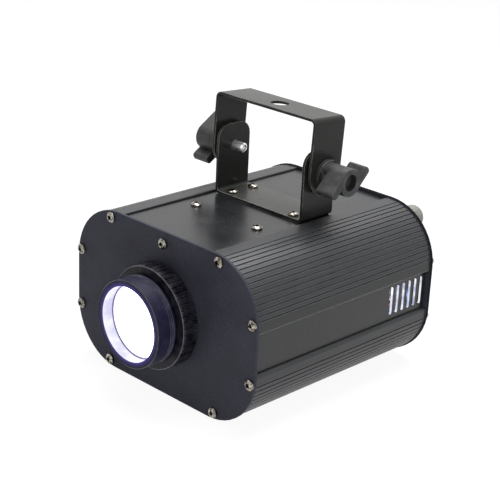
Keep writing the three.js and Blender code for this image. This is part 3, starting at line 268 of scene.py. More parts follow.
def cut_in_a_grid(shape, spacing):
    """Cuts a sheet across and up, because long thin faces between its holes would shade darker."""
    for axis in (Vector((1, 0, 0)), Vector((0, 0, 1))):
        places = [v.co.dot(axis) for v in shape.verts]
        for count in range(1, int((max(places) - min(places)) / spacing) + 1):
            cut_across(shape, axis * (min(places) + count * spacing), axis)
    bmesh.ops.triangulate(shape, faces=[f for f in shape.faces if len(f.verts) > 4])


# The flats are a soft blue-black satin. The rear plate's rim is drawn blacker and duller, as
# painted shade.
plate_coat = powder_coat("satin_black_powder_coat", "#2c2c33", "#41424c", "#5a5a60", 0.45, 0.07, 0.2)
rim_shade_coat = powder_coat("powder_coat_with_painted_shade_on_the_rim", "#101014", "#191a1e", "#3a3a3e", 0.6, 0.02, 0.1)
grid_spacing = 11.3 * mm
for end in ("front_plate", "rear_plate"):
    plate = solid_copy(end)
    soften(plate, 0.25 * mm)
    cut_in_a_grid(plate, grid_spacing)
    piece = finished(f"{end}_sheet", plate, plate_coat, "housing", "black_powder_coat", end)
    if end == "rear_plate":
        # Painted shade: the rear plate's rim takes the darker, duller coat
        refinish(piece, rim_shade_coat, lambda face: abs(face.normal.y) < 0.5)

# Corner extrusions: four lengths of ribbed aluminium, pressed through a die, sawn and painted
# black. The die leaves fine lines along them. The crests of the ribs are rubbed lighter, which
# also paints the highlight along them, and the grooves carry painted shade.


def extruded_black(name, colour, paler, rubbed, roughness):
    """Thin black paint over die lines: long faint streaks, pale crests that also carry a painted
    highlight, and grooves darkened by painted shade. Real die lines are a tenth of a millimetre
    apart, and are drawn coarser so that they show."""
    line_width, line_length, patch_size, shade_depth = 0.35 * mm, 60 * mm, 18 * mm, 1 * mm
    material, tree = new_material(name)
    place = node(tree, "TexCoord").outputs["Object"]
    along = node(tree, "Mapping", {"Vector": place, "Scale": (1, line_width / line_length, 1)})
    lines = node(tree, "TexNoise", {"Vector": along, "Scale": 1 / line_width, "Detail": 3})
    patches = node(tree, "TexNoise", {"Vector": place, "Scale": 1 / patch_size, "Detail": 4})
    tone = node(tree, "MapRange", {"Value": lines, "From Min": 0.35, "From Max": 0.7})
    paint = node(tree, "Mix", {"Factor": tone, "A": linear(colour), "B": linear(paler)}, data_type="RGBA")
    # The rubbed crests also paint the highlight along the ribs' edges
    wear = edge_wear(tree, 0.4 * mm, 0.8, patches, spared=0.22)
    worn_and_highlit_paint = node(tree, "Mix", {"Factor": wear, "A": paint, "B": linear(rubbed)}, data_type="RGBA")
    # Painted shade: ambient occlusion darkens the paint in the grooves and corners
    hollow = node(tree, "AmbientOcclusion", {"Distance": shade_depth}, samples=4).outputs["AO"]
    groove_shade = node(tree, "MapRange", {"Value": hollow, "From Min": 0.85, "From Max": 0.45, "To Max": 0.95})
    shaded_paint = node(
        tree, "Mix", {"Factor": groove_shade, "A": worn_and_highlit_paint, "B": linear("#0a0a0b")}, data_type="RGBA"
    )
    matt = node(
        tree, "MapRange", {"Value": lines, "To Min": roughness - 0.08, "To Max": roughness + 0.08}
    )
    bump = node(tree, "Bump", {"Height": lines, "Strength": 0.25, "Distance": 0.02 * mm})
    shade(
        tree, {"Base Color": shaded_paint, "Roughness": matt, "Specular IOR Level": 0.45, "Normal": bump}
    )
    return material


# One paint in four copies: as it is over the ribs, with painted shade on the smooth band under
# them, with a painted highlight as a thin grey line along the side lip and the last crest, and
# with painted shade in the slot beside the top panel.
extrusion_paint = extruded_black("painted_aluminium_extrusion", "#1d1e20", "#313234", "#808285", 0.42)
lip_highlight_paint = extruded_black("extrusion_paint_with_painted_highlight_on_the_lip", "#85868a", "#a0a1a5", "#b9babd", 0.4)
# Painted shade on the smooth flat band
band_shade_paint = extruded_black("extrusion_paint_with_painted_shade_on_the_band", "#131415", "#242526", "#6c6e70", 0.42)
# Painted shade in the slot beside the top panel
slot_shade_paint = extruded_black("extrusion_paint_with_painted_shade_in_the_slot", "#09090a", "#101011", "#3a3b3c", 0.5)
lip_round = 0.9 * mm
lip_height = 1.6 * mm
lip_tolerance = 0.05 * mm
lip_bead = {"top": 0.6 * mm, "bottom": 2.1 * mm}
crest_round = 0.65 * mm
last_crest_x = 78.94 * mm
last_crest_z = 72.39 * mm
band_top = 72 * mm
for corner in ("top_left", "top_right", "bottom_left", "bottom_right"):
    extrusion = solid_copy(f"{corner}_profile")
    low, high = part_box(f"{corner}_profile")
    top_lip = (min(low.x, high.x, key=abs), high.z if "top" in corner else low.z)
    side_lip = (max(low.x, high.x, key=abs), low.z if "top" in corner else high.z)
    bead = lip_bead[corner.split("_")[0]]
    for (lip_x, lip_z), width in ((top_lip, lip_round), (side_lip, bead)):
        lip_edge = [
            e
            for e in extrusion.edges
            if all(max(abs(v.co.x - lip_x), abs(v.co.z - lip_z)) < lip_tolerance for v in e.verts)
        ]
        round_off(extrusion, lip_edge, width, segments=4)
    soften(extrusion, crest_round, segments=3)
    piece = finished(
        f"{corner}_extrusion", extrusion, extrusion_paint, "housing", "black_extrusion", f"{corner}_profile"
    )
    if "bottom" in corner:
        continue
    for state in (lip_highlight_paint, band_shade_paint, slot_shade_paint):
        piece.data.materials.append(state)
    for face in piece.data.polygons:
        outer, height, sideways = abs(face.center.x), face.center.z, abs(face.normal.x)
        on_bead = max(abs(outer - abs(side_lip[0])), abs(height - side_lip[1])) < bead
        on_crest = max(abs(outer - last_crest_x), abs(height - last_crest_z)) < crest_round
        in_slot = outer < abs(top_lip[0]) + lip_round and height > top_lip[1] - lip_height
        # Painted shade in the slot and on the band, a painted highlight on the bead and last crest
        if in_slot and sideways > 0.4:
            face.material_index = 3
        elif on_bead and 0.2 < sideways < 0.98 or on_crest and height < last_crest_z:
            face.material_index = 1
        elif outer > last_crest_x and height < band_top:
            face.material_index = 2

# Flat panels: 1.5 mm sheet slid into the extrusions' slots. The same powder as the end plates,
# but glossier, so the top one mirrors the bracket. The side ones have six punched vents, and
# the lamp inside catches the edges of the vents that face it.


def lit_surface(name, colour, shadow, cloud_size, strength):
    """A pale surface so near the lamp that a camera sees it glow, in slow clouds of two tones."""
    material, tree = new_material(name)
    place = node(tree, "TexCoord").outputs["Object"]
    clouds = node(tree, "TexNoise", {"Vector": place, "Scale": 1 / cloud_size, "Detail": 4})
    lit = node(tree, "MapRange", {"Value": clouds, "From Min": 0.38, "From Max": 0.6})
    tones = node(tree, "Mix", {"Factor": lit, "A": linear(shadow), "B": linear(colour)}, data_type="RGBA")
    unlit = linear("#2a2a34")
    shade(
        tree,
        {"Base Color": unlit, "Roughness": 0.5, "Emission Color": tones, "Emission Strength": strength},
    )
    return material


# A glossier powder, which shows soft reflections, and the steel edge of a vent burnt out to
# near white by the lamp
panel_coat = powder_coat("semi_gloss_black_powder_coat", "#161719", "#242527", "#5a5c5e", 0.27, 0.42)
lit_punched_edge = lit_surface("punched_edge_in_the_light", "#fbfcff", "#aab0d0", 6 * mm, 0.9)
vent_centre = Vector((0, 59.1, 52.3)) * mm
vent_half_length = 16.2 * mm
vent_half_height = 9.7 * mm


def faces_the_lamp(face):
    """The rear edges of the vents, because the lamp is further forward."""
    away = face.center - vent_centre
    in_field = abs(away.y) < vent_half_length and abs(away.z) < vent_half_height
    return in_field and face.normal.y < -0.3


for place in ("top", "bottom", "right_side", "left_side"):
    cad_node = f"{place}_panel"
    panel = solid_copy(cad_node)
    soften(panel, 0.15 * mm)
    piece = finished(f"{cad_node}_sheet", panel, panel_coat, "housing", "black_powder_coat", cad_node)
    if "side" in place:
        refinish(piece, lit_punched_edge, faces_the_lamp)

# Screws: nickel-plated steel, pan heads with a cross recess. Long ones hold the end plates,
# short ones the bracket and the optics under the top panel. Painted shade darkens the recesses.


def plated(name, colour, tarnish_and_shade, roughness, tarnished=0.3):
    """Bare or plated metal: bright where clean, smeared and tarnished in patches, and darkened by
    painted shade in its corners. Real smears are finer, and are drawn at 1.6 mm so that they show."""
    smear_size, shade_reach = 1.6 * mm, 1.2 * mm
    material, tree = new_material(name)
    place = node(tree, "TexCoord").outputs["Object"]
    smears = node(tree, "TexNoise", {"Vector": place, "Scale": 1 / smear_size, "Detail": 4})
    # Painted shade: ambient occlusion darkens the metal in its corners and recesses
    corner = node(tree, "AmbientOcclusion", {"Distance": shade_reach}, samples=4).outputs["AO"]
    corner_shade = node(tree, "MapRange", {"Value": corner, "From Min": 0.9, "From Max": 0.5, "To Max": 0.95})
    metal = node(tree, "Mix", {"Factor": corner_shade, "A": linear(colour), "B": linear(tarnish_and_shade)}, data_type="RGBA")
    clean_share = {"From Min": 0.35, "From Max": 0.65, "To Min": 1, "To Max": 1 - tarnished}
    clean = node(tree, "MapRange", {"Value": smears, **clean_share})
    smeared = node(tree, "Mix", {"Factor": clean, "A": linear(tarnish_and_shade), "B": metal}, data_type="RGBA")
    matt = node(tree, "MapRange", {"Value": smears, "To Min": roughness - 0.1, "To Max": roughness + 0.16})
    bump = node(tree, "Bump", {"Height": smears, "Strength": 0.1, "Distance": 0.02 * mm})
    shade(tree, {"Base Color": smeared, "Metallic": 1, "Roughness": matt, "Normal": bump})
    return material


# Nickel has a warm, almost yellow grey, with hard glints on the crown and a cross blackened
# by painted shade
nickel = plated("nickel_plated_steel", "#c0baae", "#0a0908", 0.22, 0.95)
head_radius = 3.35 * mm
head_height = 2 * mm
shank_radius = 1.35 * mm
head_cells = 9
crown_drop = 0.5
arm_cells = 2
throat_cells = 1
recess_depth = 1.3 * mm
recess_taper = 0.8


def pushed_out(shape, edges):
    """Extrudes a loop of edges in place, and gives the new loop's vertices and edges."""
    made = bmesh.ops.extrude_edge_only(shape, edges=edges)["geom"]
    verts = [v for v in made if isinstance(v, bmesh.types.BMVert)]
    return verts, [e for e in made if isinstance(e, bmesh.types.BMEdge)]


def pan_head(length):
    """A screw that stands on its seat at the origin, its head along +Z and its shank along -Z."""
    shape = bmesh.new()
    bmesh.ops.create_grid(shape, x_segments=head_cells, y_segments=head_cells, size=1)
    for vertex in shape.verts:
        x, y, _ = vertex.co
        vertex.co = Vector((x * math.sqrt(1 - y * y / 2), y * math.sqrt(1 - x * x / 2), 0))
        vertex.co.z = -crown_drop * vertex.co.length_squared**2
    bmesh.ops.scale(shape, vec=(head_radius, head_radius, head_height), verts=shape.verts)
    bmesh.ops.translate(shape, vec=(0, 0, head_height), verts=shape.verts)
    cell = 2 * head_radius / head_cells

    def in_cross(face):
        """Whether a face of the crown lies in the cross."""
        inner, outer = sorted(abs(round(c / cell)) for c in face.calc_center_median()[:2])
        return outer <= (arm_cells if inner == 0 else throat_cells)

    recess = [f for f in shape.faces if in_cross(f)]
    sunk = bmesh.ops.extrude_face_region(shape, geom=recess)["geom"]
    not_sunk = [f for f in shape.faces if in_cross(f) and f not in sunk]
    bmesh.ops.delete(shape, geom=not_sunk, context="FACES")
    floor_verts = [v for v in sunk if isinstance(v, bmesh.types.BMVert)]
    bmesh.ops.scale(shape, vec=(recess_taper, recess_taper, 1), verts=floor_verts)
    bmesh.ops.translate(shape, vec=(0, 0, -recess_depth), verts=floor_verts)
    verts, seat = pushed_out(shape, [e for e in shape.edges if e.is_boundary])
    for vertex in verts:
        vertex.co.z = 0
    for height in (0, -length):
        verts, seat = pushed_out(shape, seat)
        for vertex in verts:
            vertex.co = vertex.co.xy.normalized().to_3d() * shank_radius + Vector((0, 0, height))
    bmesh.ops.holes_fill(shape, edges=seat)
    return shape


outward = {"front": (0, -1, 0), "rear": (0, 1, 0), "bracket": (0, 0, 1), "panel": (0, 0, 1)}
turn_between_screws = 2.4
for count, name in enumerate(sorted(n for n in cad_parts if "screw" in n)):
    way = Vector(outward[name.split("_")[0]])
    low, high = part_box(name)
    reach = abs((high - low).dot(way))
    seat_place = (low + high) / 2 + way * (reach / 2 - head_height)
    screw = pan_head(reach - head_height)
    turn = Matrix.Rotation(count * turn_between_screws, 4, "Z")
    facing = way.to_track_quat("Z", "Y").to_matrix().to_4x4()
    bmesh.ops.transform(screw, matrix=Matrix.Translation(seat_place) @ facing @ turn, verts=screw.verts)
    finished(f"{name}_pan_head", screw, nickel, "housing", "nickel_screw", name)

# Bracket and yoke: U shapes folded from 1.8 mm steel strip and powder coated. The bracket is
# screwed to the top panel. The yoke swings on its ears and has a hole for a clamp's bolt.

# The strip's powder is glossier and browner than the plates', and its edges are rubbed pale,
# which also paints the highlights along them. On the bracket's base it is drawn paler as painted
# light, and its near edges carry a bright line, part bare steel and part painted highlight.
strip_coat = powder_coat("satin_black_strip_coat", "#222321", "#2f302d", "#b4b4ae", 0.24, 0.14, 0.9)
base_light_coat = powder_coat("satin_black_strip_coat_with_painted_light", "#3a3a37", "#50504c", "#b4b4ae", 0.3, 0.2, 0.9)
bare_edge_and_highlight = plated("bare_steel_edge_with_painted_highlight", "#f6f6f0", "#a8a8a2", 0.6, 0.15)
strip_thickness = 1.8 * mm
strip_edge = 0.3 * mm
bright_edge_reach = 36 * mm
bright_edge_width = 1 * mm
for name, body in (("mounting_bracket", "housing"), ("yoke", "yoke")):
    strip = solid_copy(name)
    low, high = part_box(name)
    ear_face = high.x - strip_thickness
    bright_edge_x = ear_face + bright_edge_width
    soften(strip, strip_edge)
    if name == "mounting_bracket":
        cut_across(strip, (bright_edge_x, 0, 0), (1, 0, 0))
    piece = finished(f"{name}_strip", strip, strip_coat, body, "black_powder_coat", name)
    if name == "yoke":
        continue
    piece.data.materials.append(bare_edge_and_highlight)
    piece.data.materials.append(base_light_coat)
    for face in piece.data.polygons:
        spot = face.center
        on_base = spot.z < low.z + 2 * strip_thickness
        on_ear = ear_face - 0.1 * mm < spot.x < bright_edge_x and spot.z < low.z + bright_edge_reach
        # Painted highlight: a bright line on the near edges, also standing for bare steel
        if face.normal.y < -0.2 and (on_ear or on_base and face.normal.z > 0.2):
            face.material_index = 1
        # Painted light: the base's top faces take the paler coat
        elif on_base and face.normal.z > 0.9:
            face.material_index = 2

# Clamp knobs: glass-filled nylon, moulded with two offset wings and a sunk end, with a fine
# spark-eroded grain. Each turns on a zinc-plated stud, with a fibre washer behind the yoke.


def moulded(name, colour, pale, roughness, grain_size):
    """Moulded plastic: the matt grain of a spark-eroded mould, slow flow marks, and edges rubbed
    pale. Real grain is about a tenth of a millimetre, and is drawn coarser so that it shows."""
    flow_size = 7 * mm
    material, tree = new_material(name)
    place = node(tree, "TexCoord").outputs["Object"]
    grain = node(tree, "TexNoise", {"Vector": place, "Scale": 1 / grain_size, "Detail": 2})
    flow = node(
        tree, "TexNoise", {"Vector": place, "Scale": 1 / flow_size, "Detail": 4, "Distortion": 0.6}
    )
    tone = node(tree, "MapRange", {"Value": flow, "From Min": 0.35, "From Max": 0.7, "To Max": 0.15})
    wear = edge_wear(tree, 0.6 * mm, 0.7, flow)
    light = node(tree, "Math", {0: tone, 1: wear}, operation="ADD", use_clamp=True)
    plastic = node(tree, "Mix", {"Factor": light, "A": linear(colour), "B": linear(pale)}, data_type="RGBA")
    matt = node(tree, "MapRange", {"Value": grain, "To Min": roughness - 0.06, "To Max": roughness + 0.06})
    bump = node(tree, "Bump", {"Height": grain, "Strength": 0.4, "Distance": 0.04 * mm})
    shade(tree, {"Base Color": plastic, "Roughness": matt, "Specular IOR Level": 0.45, "Normal": bump})
    return material


def turned(shape, profile, centre, axis, steps):
    """A round body: a profile of radii and places along the axis, spun once."""
    axis = Vector(axis)
    out = axis.orthogonal().normalized()
    points = [shape.verts.new(Vector(centre) + out * radius + axis * along) for radius, along in profile]
    lines = [shape.edges.new(pair) for pair in zip(points, points[1:])]
    bmesh.ops.spin(
        shape, geom=points + lines, cent=centre, axis=axis, angle=math.tau, steps=steps, use_merge=True
    )


# Nylon full of glass is a dull charcoal that scuffs grey. Zinc is a pale, slightly blue silver,
# and pressed fibre a dry dark brown.
knob_nylon = moulded("glass_filled_nylon", "#121313", "#868684", 0.52, 0.35 * mm)
zinc = plated("zinc_plated_steel", "#f4f5f7", "#8a8d92", 0.42, 0.15)
pressed_fibre = moulded("pressed_fibre", "#26231f", "#4a453e", 0.8, 0.3 * mm)
stud_radius = 3 * mm
stud_chamfer = 0.8 * mm
dimple_radius = 1.9 * mm
dimple_depth = 1 * mm
for side, way in (("right", (1, 0, 0)), ("left", (-1, 0, 0))):
    knob = solid_copy(f"{side}_clamp_knob")
    soften(knob, 0.45 * mm, segments=3)
    finished(f"{side}_wing_knob", knob, knob_nylon, f"{side}_knob", "black_nylon", f"{side}_clamp_knob")
    low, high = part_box(f"{side}_clamp_stud")
    half = (high.x - low.x) / 2
    stud_profile = [
        (0, -half + dimple_depth),
        (dimple_radius, -half + dimple_depth),
        (dimple_radius, -half),
        (stud_radius - stud_chamfer, -half),
        (stud_radius, stud_chamfer - half),
        (stud_radius, half),
        (0, half),
    ]
    stud = bmesh.new()
    turned(stud, stud_profile, (low + high) / 2, way, steps=48)
    finished(f"{side}_stud", stud, zinc, f"{side}_knob", "zinc_stud", f"{side}_clamp_stud")
    washer = solid_copy(f"{side}_friction_washer")
    soften(washer, 0.2 * mm)
    finished(
        f"{side}_washer", washer, pressed_fibre, "housing", "fibre_washer", f"{side}_friction_washer"
    )

# Focus ring: turned aluminium, cut with 56 ribs for the fingers and anodised black. It drives
# the barrel in and out. Its front corner is chamfered and worn grey, in a thin line that is also a
# painted highlight.


def anodised(name, colour, pale, roughness, edge_rub=0.4, glow=None):
    """Black anodising over turned aluminium: a dull sheen across fine rings round the optical
    axis, with edges worn grey. A real cut feeds about 0.1 mm a turn, and is drawn coarser."""
    line_pitch, cloud_size = 0.5 * mm, 5 * mm
    material, tree = new_material(name)
    place = node(tree, "TexCoord").outputs["Object"]
    waves = {"Vector": place, "Scale": 1 / (math.pi * line_pitch), "Distortion": 0.3, "Detail": 1}
    rings = node(tree, "TexWave", waves, bands_direction="Y").outputs["Fac"]
    cloud = node(tree, "TexNoise", {"Vector": place, "Scale": 1 / cloud_size, "Detail": 4})
    tone = node(tree, "MapRange", {"Value": cloud, "From Min": 0.35, "From Max": 0.7, "To Max": 0.12})
    wear = edge_wear(tree, 0.4 * mm, edge_rub, cloud)
    light = node(tree, "Math", {0: tone, 1: wear}, operation="ADD", use_clamp=True)
    oxide = node(tree, "Mix", {"Factor": light, "A": linear(colour), "B": linear(pale)}, data_type="RGBA")
    matt = node(tree, "MapRange", {"Value": cloud, "To Min": roughness - 0.08, "To Max": roughness + 0.08})
    bump = node(tree, "Bump", {"Height": rings, "Strength": 0.3, "Distance": 0.03 * mm})
    finish = {"Base Color": oxide, "Roughness": matt, "Specular IOR Level": 0.16, "Normal": bump}
    if glow:
        finish.update(glow(tree))
    shade(tree, finish)
    return material


def ribbed(stations, centre, steps, cut):
    """A round body along Y, from loops of one circle. A station is a radius, how deep the ribs'
    grooves are there and a place along Y. cut says what share of that depth a bearing loses."""
    least_radius = 0.001 * mm
    shape = bmesh.new()
    bmesh.ops.create_circle(shape, segments=steps, radius=1)
    bmesh.ops.rotate(
        shape, cent=(0, 0, 0), matrix=Matrix.Rotation(math.pi / 2, 3, "X"), verts=shape.verts
    )
    bmesh.ops.translate(shape, vec=(centre.x, 0, centre.z), verts=shape.verts)
    verts, loop = list(shape.verts), list(shape.edges)
    for count, (radius, depth, along) in enumerate(stations):
        if count:
            verts, loop = pushed_out(shape, loop)
        for vertex in verts:
            bearing = math.atan2(vertex.co.z - centre.z, vertex.co.x - centre.x)
            reach = max(radius, least_radius) - depth * cut(bearing)
            x, z = centre.x + reach * math.cos(bearing), centre.z + reach * math.sin(bearing)
            vertex.co = Vector((x, along, z))
    return shape


# Deep black with a violet cast, its rib edges rubbed grey, which also paints their highlights, and
# the same worn through to grey metal on the chamfer, where the grey is also a painted highlight
black_oxide = anodised("black_anodised_aluminium", "#090812", "#6a6a74", 0.4, 0.6)
worn_rim_and_highlight = anodised("anodising_worn_grey_with_painted_highlight", "#545456", "#8e8e90", 0.36)
ring_low, ring_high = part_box("focus_ring")
optical_axis = (ring_low + ring_high) / 2
rib_count = 56
rib_steps = 6
rib_depth = 0.8 * mm
ring_radius = (ring_high.x - ring_low.x) / 2
ring_bore = 25.3 * mm
guide_bore = 28.8 * mm
collar = 2 * mm
ring_chamfer = 0.38 * mm
front, rear = ring_low.y, ring_high.y
ring_stations = (
    (ring_bore, 0, front),
    (ring_radius - 2 * ring_chamfer, 0, front),
    (ring_radius - ring_chamfer, 0, front + ring_chamfer),
    (ring_radius - ring_chamfer, 0, front + 2 * ring_chamfer),
    (ring_radius, rib_depth, front + 3 * ring_chamfer),
    (ring_radius, rib_depth, rear - ring_chamfer),
    (ring_radius - ring_chamfer, rib_depth, rear),
    (guide_bore, 0, rear),
    (guide_bore, 0, front + collar),
    (ring_bore, 0, front + collar),
    (ring_bore, 0, front),
)


def finger_groove(bearing):
    """One narrow groove to each rib."""
    return round(bearing / math.tau * rib_count * rib_steps) % rib_steps == 0


def on_front_chamfer(face):
    """The slanted faces of the ring's front corner."""
    return -0.9 < face.normal.y < -0.3 and face.center.y < front + ring_chamfer


focus_ring = ribbed(ring_stations, optical_axis, rib_count * rib_steps, finger_groove)
piece = finished(
    "focus_ring_ribbed", focus_ring, black_oxide, "focus_ring", "black_anodised", "focus_ring"
)
# Worn grey and painted highlight on the front chamfer
refinish(piece, worn_rim_and_highlight, on_front_chamfer)

# Grub screw: a short screw of blackened steel, sunk in the ring's side, whose point drives the
# barrel's groove. Its socket is turned round, because it shows only as a dark dot.

# Blackened steel: near black, with a little metal showing on its rim
grub_steel = plated("blackened_steel", "#4a4a4c", "#0a0a0a", 0.4)
grub_radius = 1.5 * mm
socket_radius = 0.8 * mm
socket_floor = 0.3 * mm
grub_top = 1.3 * mm
grub_foot = -1 * mm
grub_bearing = math.atan2(20.3, 25.4)
grub_way = Vector((math.cos(grub_bearing), 0, math.sin(grub_bearing)))
grub_sunk = 1.4 * mm
grub_from_front = 6.7 * mm
ring_side = Vector((0, front + grub_from_front, optical_axis.z)) + grub_way * ring_radius
grub_profile = [
    (0, socket_floor),
    (socket_radius, socket_floor),
    (socket_radius, grub_top),
    (grub_radius, grub_top),
    (grub_radius, grub_foot),
    (0, grub_foot),
]
grub = bmesh.new()
turned(grub, grub_profile, ring_side - grub_way * grub_sunk, grub_way, steps=24)
finished("focus_grub_screw", grub, grub_steel, "focus_ring", "motor_steel")

# Lens barrel: turned aluminium, anodised black, with fine rings at the rear of its cell. The
# light of the lens whitens the wall of its mouth and spills over the lip in violet.

barrel_low, barrel_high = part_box("lens_barrel")
lens_low, lens_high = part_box("objective_lens")
axis_point = Vector((0, 0, optical_axis.z))
mouth_y = barrel_low.y
cell_radius = (barrel_high.x - barrel_low.x) / 2
mouth_radius = 23.3 * mm
neck_radius = 25 * mm
bore_radius = 21 * mm
cell_end = mouth_y + 13.5 * mm
shoulder_y = mouth_y + 11 * mm
groove_depth = 0.3 * mm
groove_half = 0.45 * mm
lip_chamfer = 0.35 * mm
spill_reach = 3 * mm
lens_crown = 2.6 * mm
lens_edge = lens_low.y + lens_crown
seat_line = 0.8 * mm
seat_start = lens_edge - seat_line
barrel_profile = [
    (mouth_radius, mouth_y + lip_chamfer / 2),
    (mouth_radius + lip_chamfer / 2, mouth_y),
    (cell_radius - lip_chamfer, mouth_y),
    (cell_radius, mouth_y + lip_chamfer),
]
for groove_y in (9.6, 11, 12.2):
    groove_place = mouth_y + groove_y * mm
    barrel_profile += [
        (cell_radius, groove_place - groove_half),
        (cell_radius - groove_depth, groove_place - groove_half / 2),
        (cell_radius - groove_depth, groove_place + groove_half / 2),
        (cell_radius, groove_place + groove_half),
    ]
barrel_profile += [
    (cell_radius, cell_end - lip_chamfer / 2),
    (cell_radius - lip_chamfer / 2, cell_end),
    (neck_radius, cell_end),
    (neck_radius, barrel_high.y),
    (bore_radius, barrel_high.y),
    (bore_radius, shoulder_y),
    (mouth_radius, shoulder_y),
    (mouth_radius, seat_start),
    (mouth_radius, mouth_y + lip_chamfer / 2),
]


def off_axis(tree):
    """How far a point is from the optical axis."""
    place = node(tree, "TexCoord").outputs["Object"]
    centred = node(tree, "VectorMath", {0: place, 1: axis_point}, operation="SUBTRACT")
    across = node(tree, "VectorMath", {0: centred, 1: (1, 0, 1)}, operation="MULTIPLY")
    return node(tree, "VectorMath", {0: across}, operation="LENGTH")


def violet_spill(tree):
    """Light on the lip: violet at the mouth's edge, and next to none a few millimetres from it."""
    outward = node(tree, "Math", {0: off_axis(tree), 1: mouth_radius}, operation="SUBTRACT")
    place = node(tree, "TexCoord").outputs["Object"]
    along = node(tree, "SeparateXYZ", {0: place}).outputs["Y"]
    rearward = node(tree, "Math", {0: along, 1: mouth_y}, operation="SUBTRACT")
    spread = node(tree, "CombineXYZ", {"X": outward, "Y": rearward})
    from_edge = node(tree, "VectorMath", {0: spread}, operation="LENGTH")
    fade = node(
        tree, "MapRange", {"Value": from_edge, "From Max": spill_reach}, interpolation_type="SMOOTHERSTEP"
    )
    violet, none = linear("#2e2670"), linear("#09081a")
    tone = node(tree, "Mix", {"Factor": fade, "A": violet, "B": none}, data_type="RGBA")
    return {"Emission Color": tone, "Emission Strength": 1}


def on_wall(face):
    """The wall of the mouth, from the lip to the shoulder."""
    on_radius = math.hypot(face.center.x, face.center.z - optical_axis.z) < mouth_radius + 0.02 * mm
    return on_radius and face.center.y < shoulder_y - 0.01 * mm


def on_seat(face):
    """The last of the wall, where the lens sits in the shade of its own edge."""
    return on_wall(face) and face.center.y >= seat_start


def on_turned_edge(face):
    """The slanted faces of the lip, the grooves and the cell's rear corner."""
    outside = math.hypot(face.center.x, face.center.z - optical_axis.z) > neck_radius + 1 * mm
    on_cell = mouth_y < face.center.y < cell_end + lip_chamfer
    return outside and on_cell and 0.3 < abs(face.normal.y) < 0.95


# The cell is black with a violet cast, partly the lens's light painted into it, and paler along
# its turned edges as a painted highlight. Its mouth is so near the lens that the wall burns out to
# white, down to a grey violet line where the lens sits.
lip_oxide = anodised("black_anodised_aluminium_by_the_lens", "#0d0b20", "#5a5868", 0.55, glow=violet_spill)
turned_edge_highlight = anodised("anodising_with_painted_highlight_on_turned_faces", "#3f3f4b", "#77777f", 0.36)
lit_wall = lit_surface("barrel_wall_in_the_light", "#fafaff", "#cac8e6", 13 * mm, 0.92)
lit_seat = lit_surface("lens_seat_in_the_light", "#77749c", "#5c5a80", 4 * mm, 0.92)
barrel = bmesh.new()
turned(barrel, barrel_profile, axis_point, (0, 1, 0), steps=96)
piece = finished("lens_barrel_turned", barrel, lip_oxide, "lens_barrel", "black_anodised", "lens_barrel")
refinish(piece, lit_wall, on_wall)
refinish(piece, lit_seat, on_seat)
# Painted highlight on the slanted turned faces of the cell
refinish(piece, turned_edge_highlight, on_turned_edge)

# Objective lens: a polished glass dome, ground and held in the barrel's mouth. The lamp behind
# it fills it with light, to a blank white with a faint violet rim.

lens_radius = (lens_high.x - lens_low.x) / 2
dome_steps = 12
dome_sphere = (lens_radius**2 + lens_crown**2) / (2 * lens_crown)
lens_profile = [
    (r, lens_low.y + dome_sphere - math.sqrt(dome_sphere**2 - r**2))
    for r in (lens_radius * i / dome_steps for i in range(dome_steps + 1))
]
lens_profile += [(lens_radius, lens_high.y), (0, lens_high.y)]
lens = bmesh.new()
turned(lens, lens_profile, axis_point, (0, 1, 0), steps=96)
lit_glass, glass = new_material("lit_optical_glass")
rim_start, rim_end = 0.955 * lens_radius, 0.975 * lens_radius
rim = node(glass, "MapRange", {"Value": off_axis(glass), "From Min": rim_start, "From Max": rim_end})
halo = node(glass, "Mix", {"Factor": rim, "A": linear("#ffffff"), "B": linear("#4c4a66")}, data_type="RGBA")
polished = {"Base Color": linear("#f4f4ff"), "Roughness": 0.03}
shade(glass, {**polished, "Emission Color": halo, "Emission Strength": 2.6})
finished("objective_lens_glass", lens, lit_glass, "lens_barrel", "optical_glass", "objective_lens")

# Inside: the barrel's guide, the optics bracket with its lamp board, condenser and heat sink,
# the gobo wheel with its motor, the fan and the power board. Little of it shows.


def board_laminate(name, resist, copper, pitch):
    """Glass-fibre board: green solder resist with the paler lines of copper tracks under it."""
    material, tree = new_material(name)
    place = node(tree, "TexCoord").outputs["Object"]
    colours = {"Color1": linear(resist), "Color2": linear(resist), "Mortar": linear(copper)}
    tracks = node(tree, "TexBrick", {"Vector": place, "Scale": 1 / pitch, "Mortar Size": 0.06, **colours})
    relief = tracks.outputs["Fac"]
    bump = node(tree, "Bump", {"Height": relief, "Strength": 0.3, "Distance": 0.05 * mm})
    shade(tree, {"Base Color": tracks, "Roughness": 0.35, "Normal": bump})
    return material


def pressed_glass(name, tint, haze_size):
    """A clear moulded lens: smooth glass with the faintest haze, in patches."""
    material, tree = new_material(name)
    place = node(tree, "TexCoord").outputs["Object"]
    haze = node(tree, "TexNoise", {"Vector": place, "Scale": 1 / haze_size, "Detail": 5})
    clear = node(tree, "Mix", {"Factor": haze, "A": linear("#ffffff"), "B": linear(tint)}, data_type="RGBA")
    shade(tree, {"Base Color": clear, "Roughness": 0.04, "Transmission Weight": 1, "IOR": 1.5})
    return material


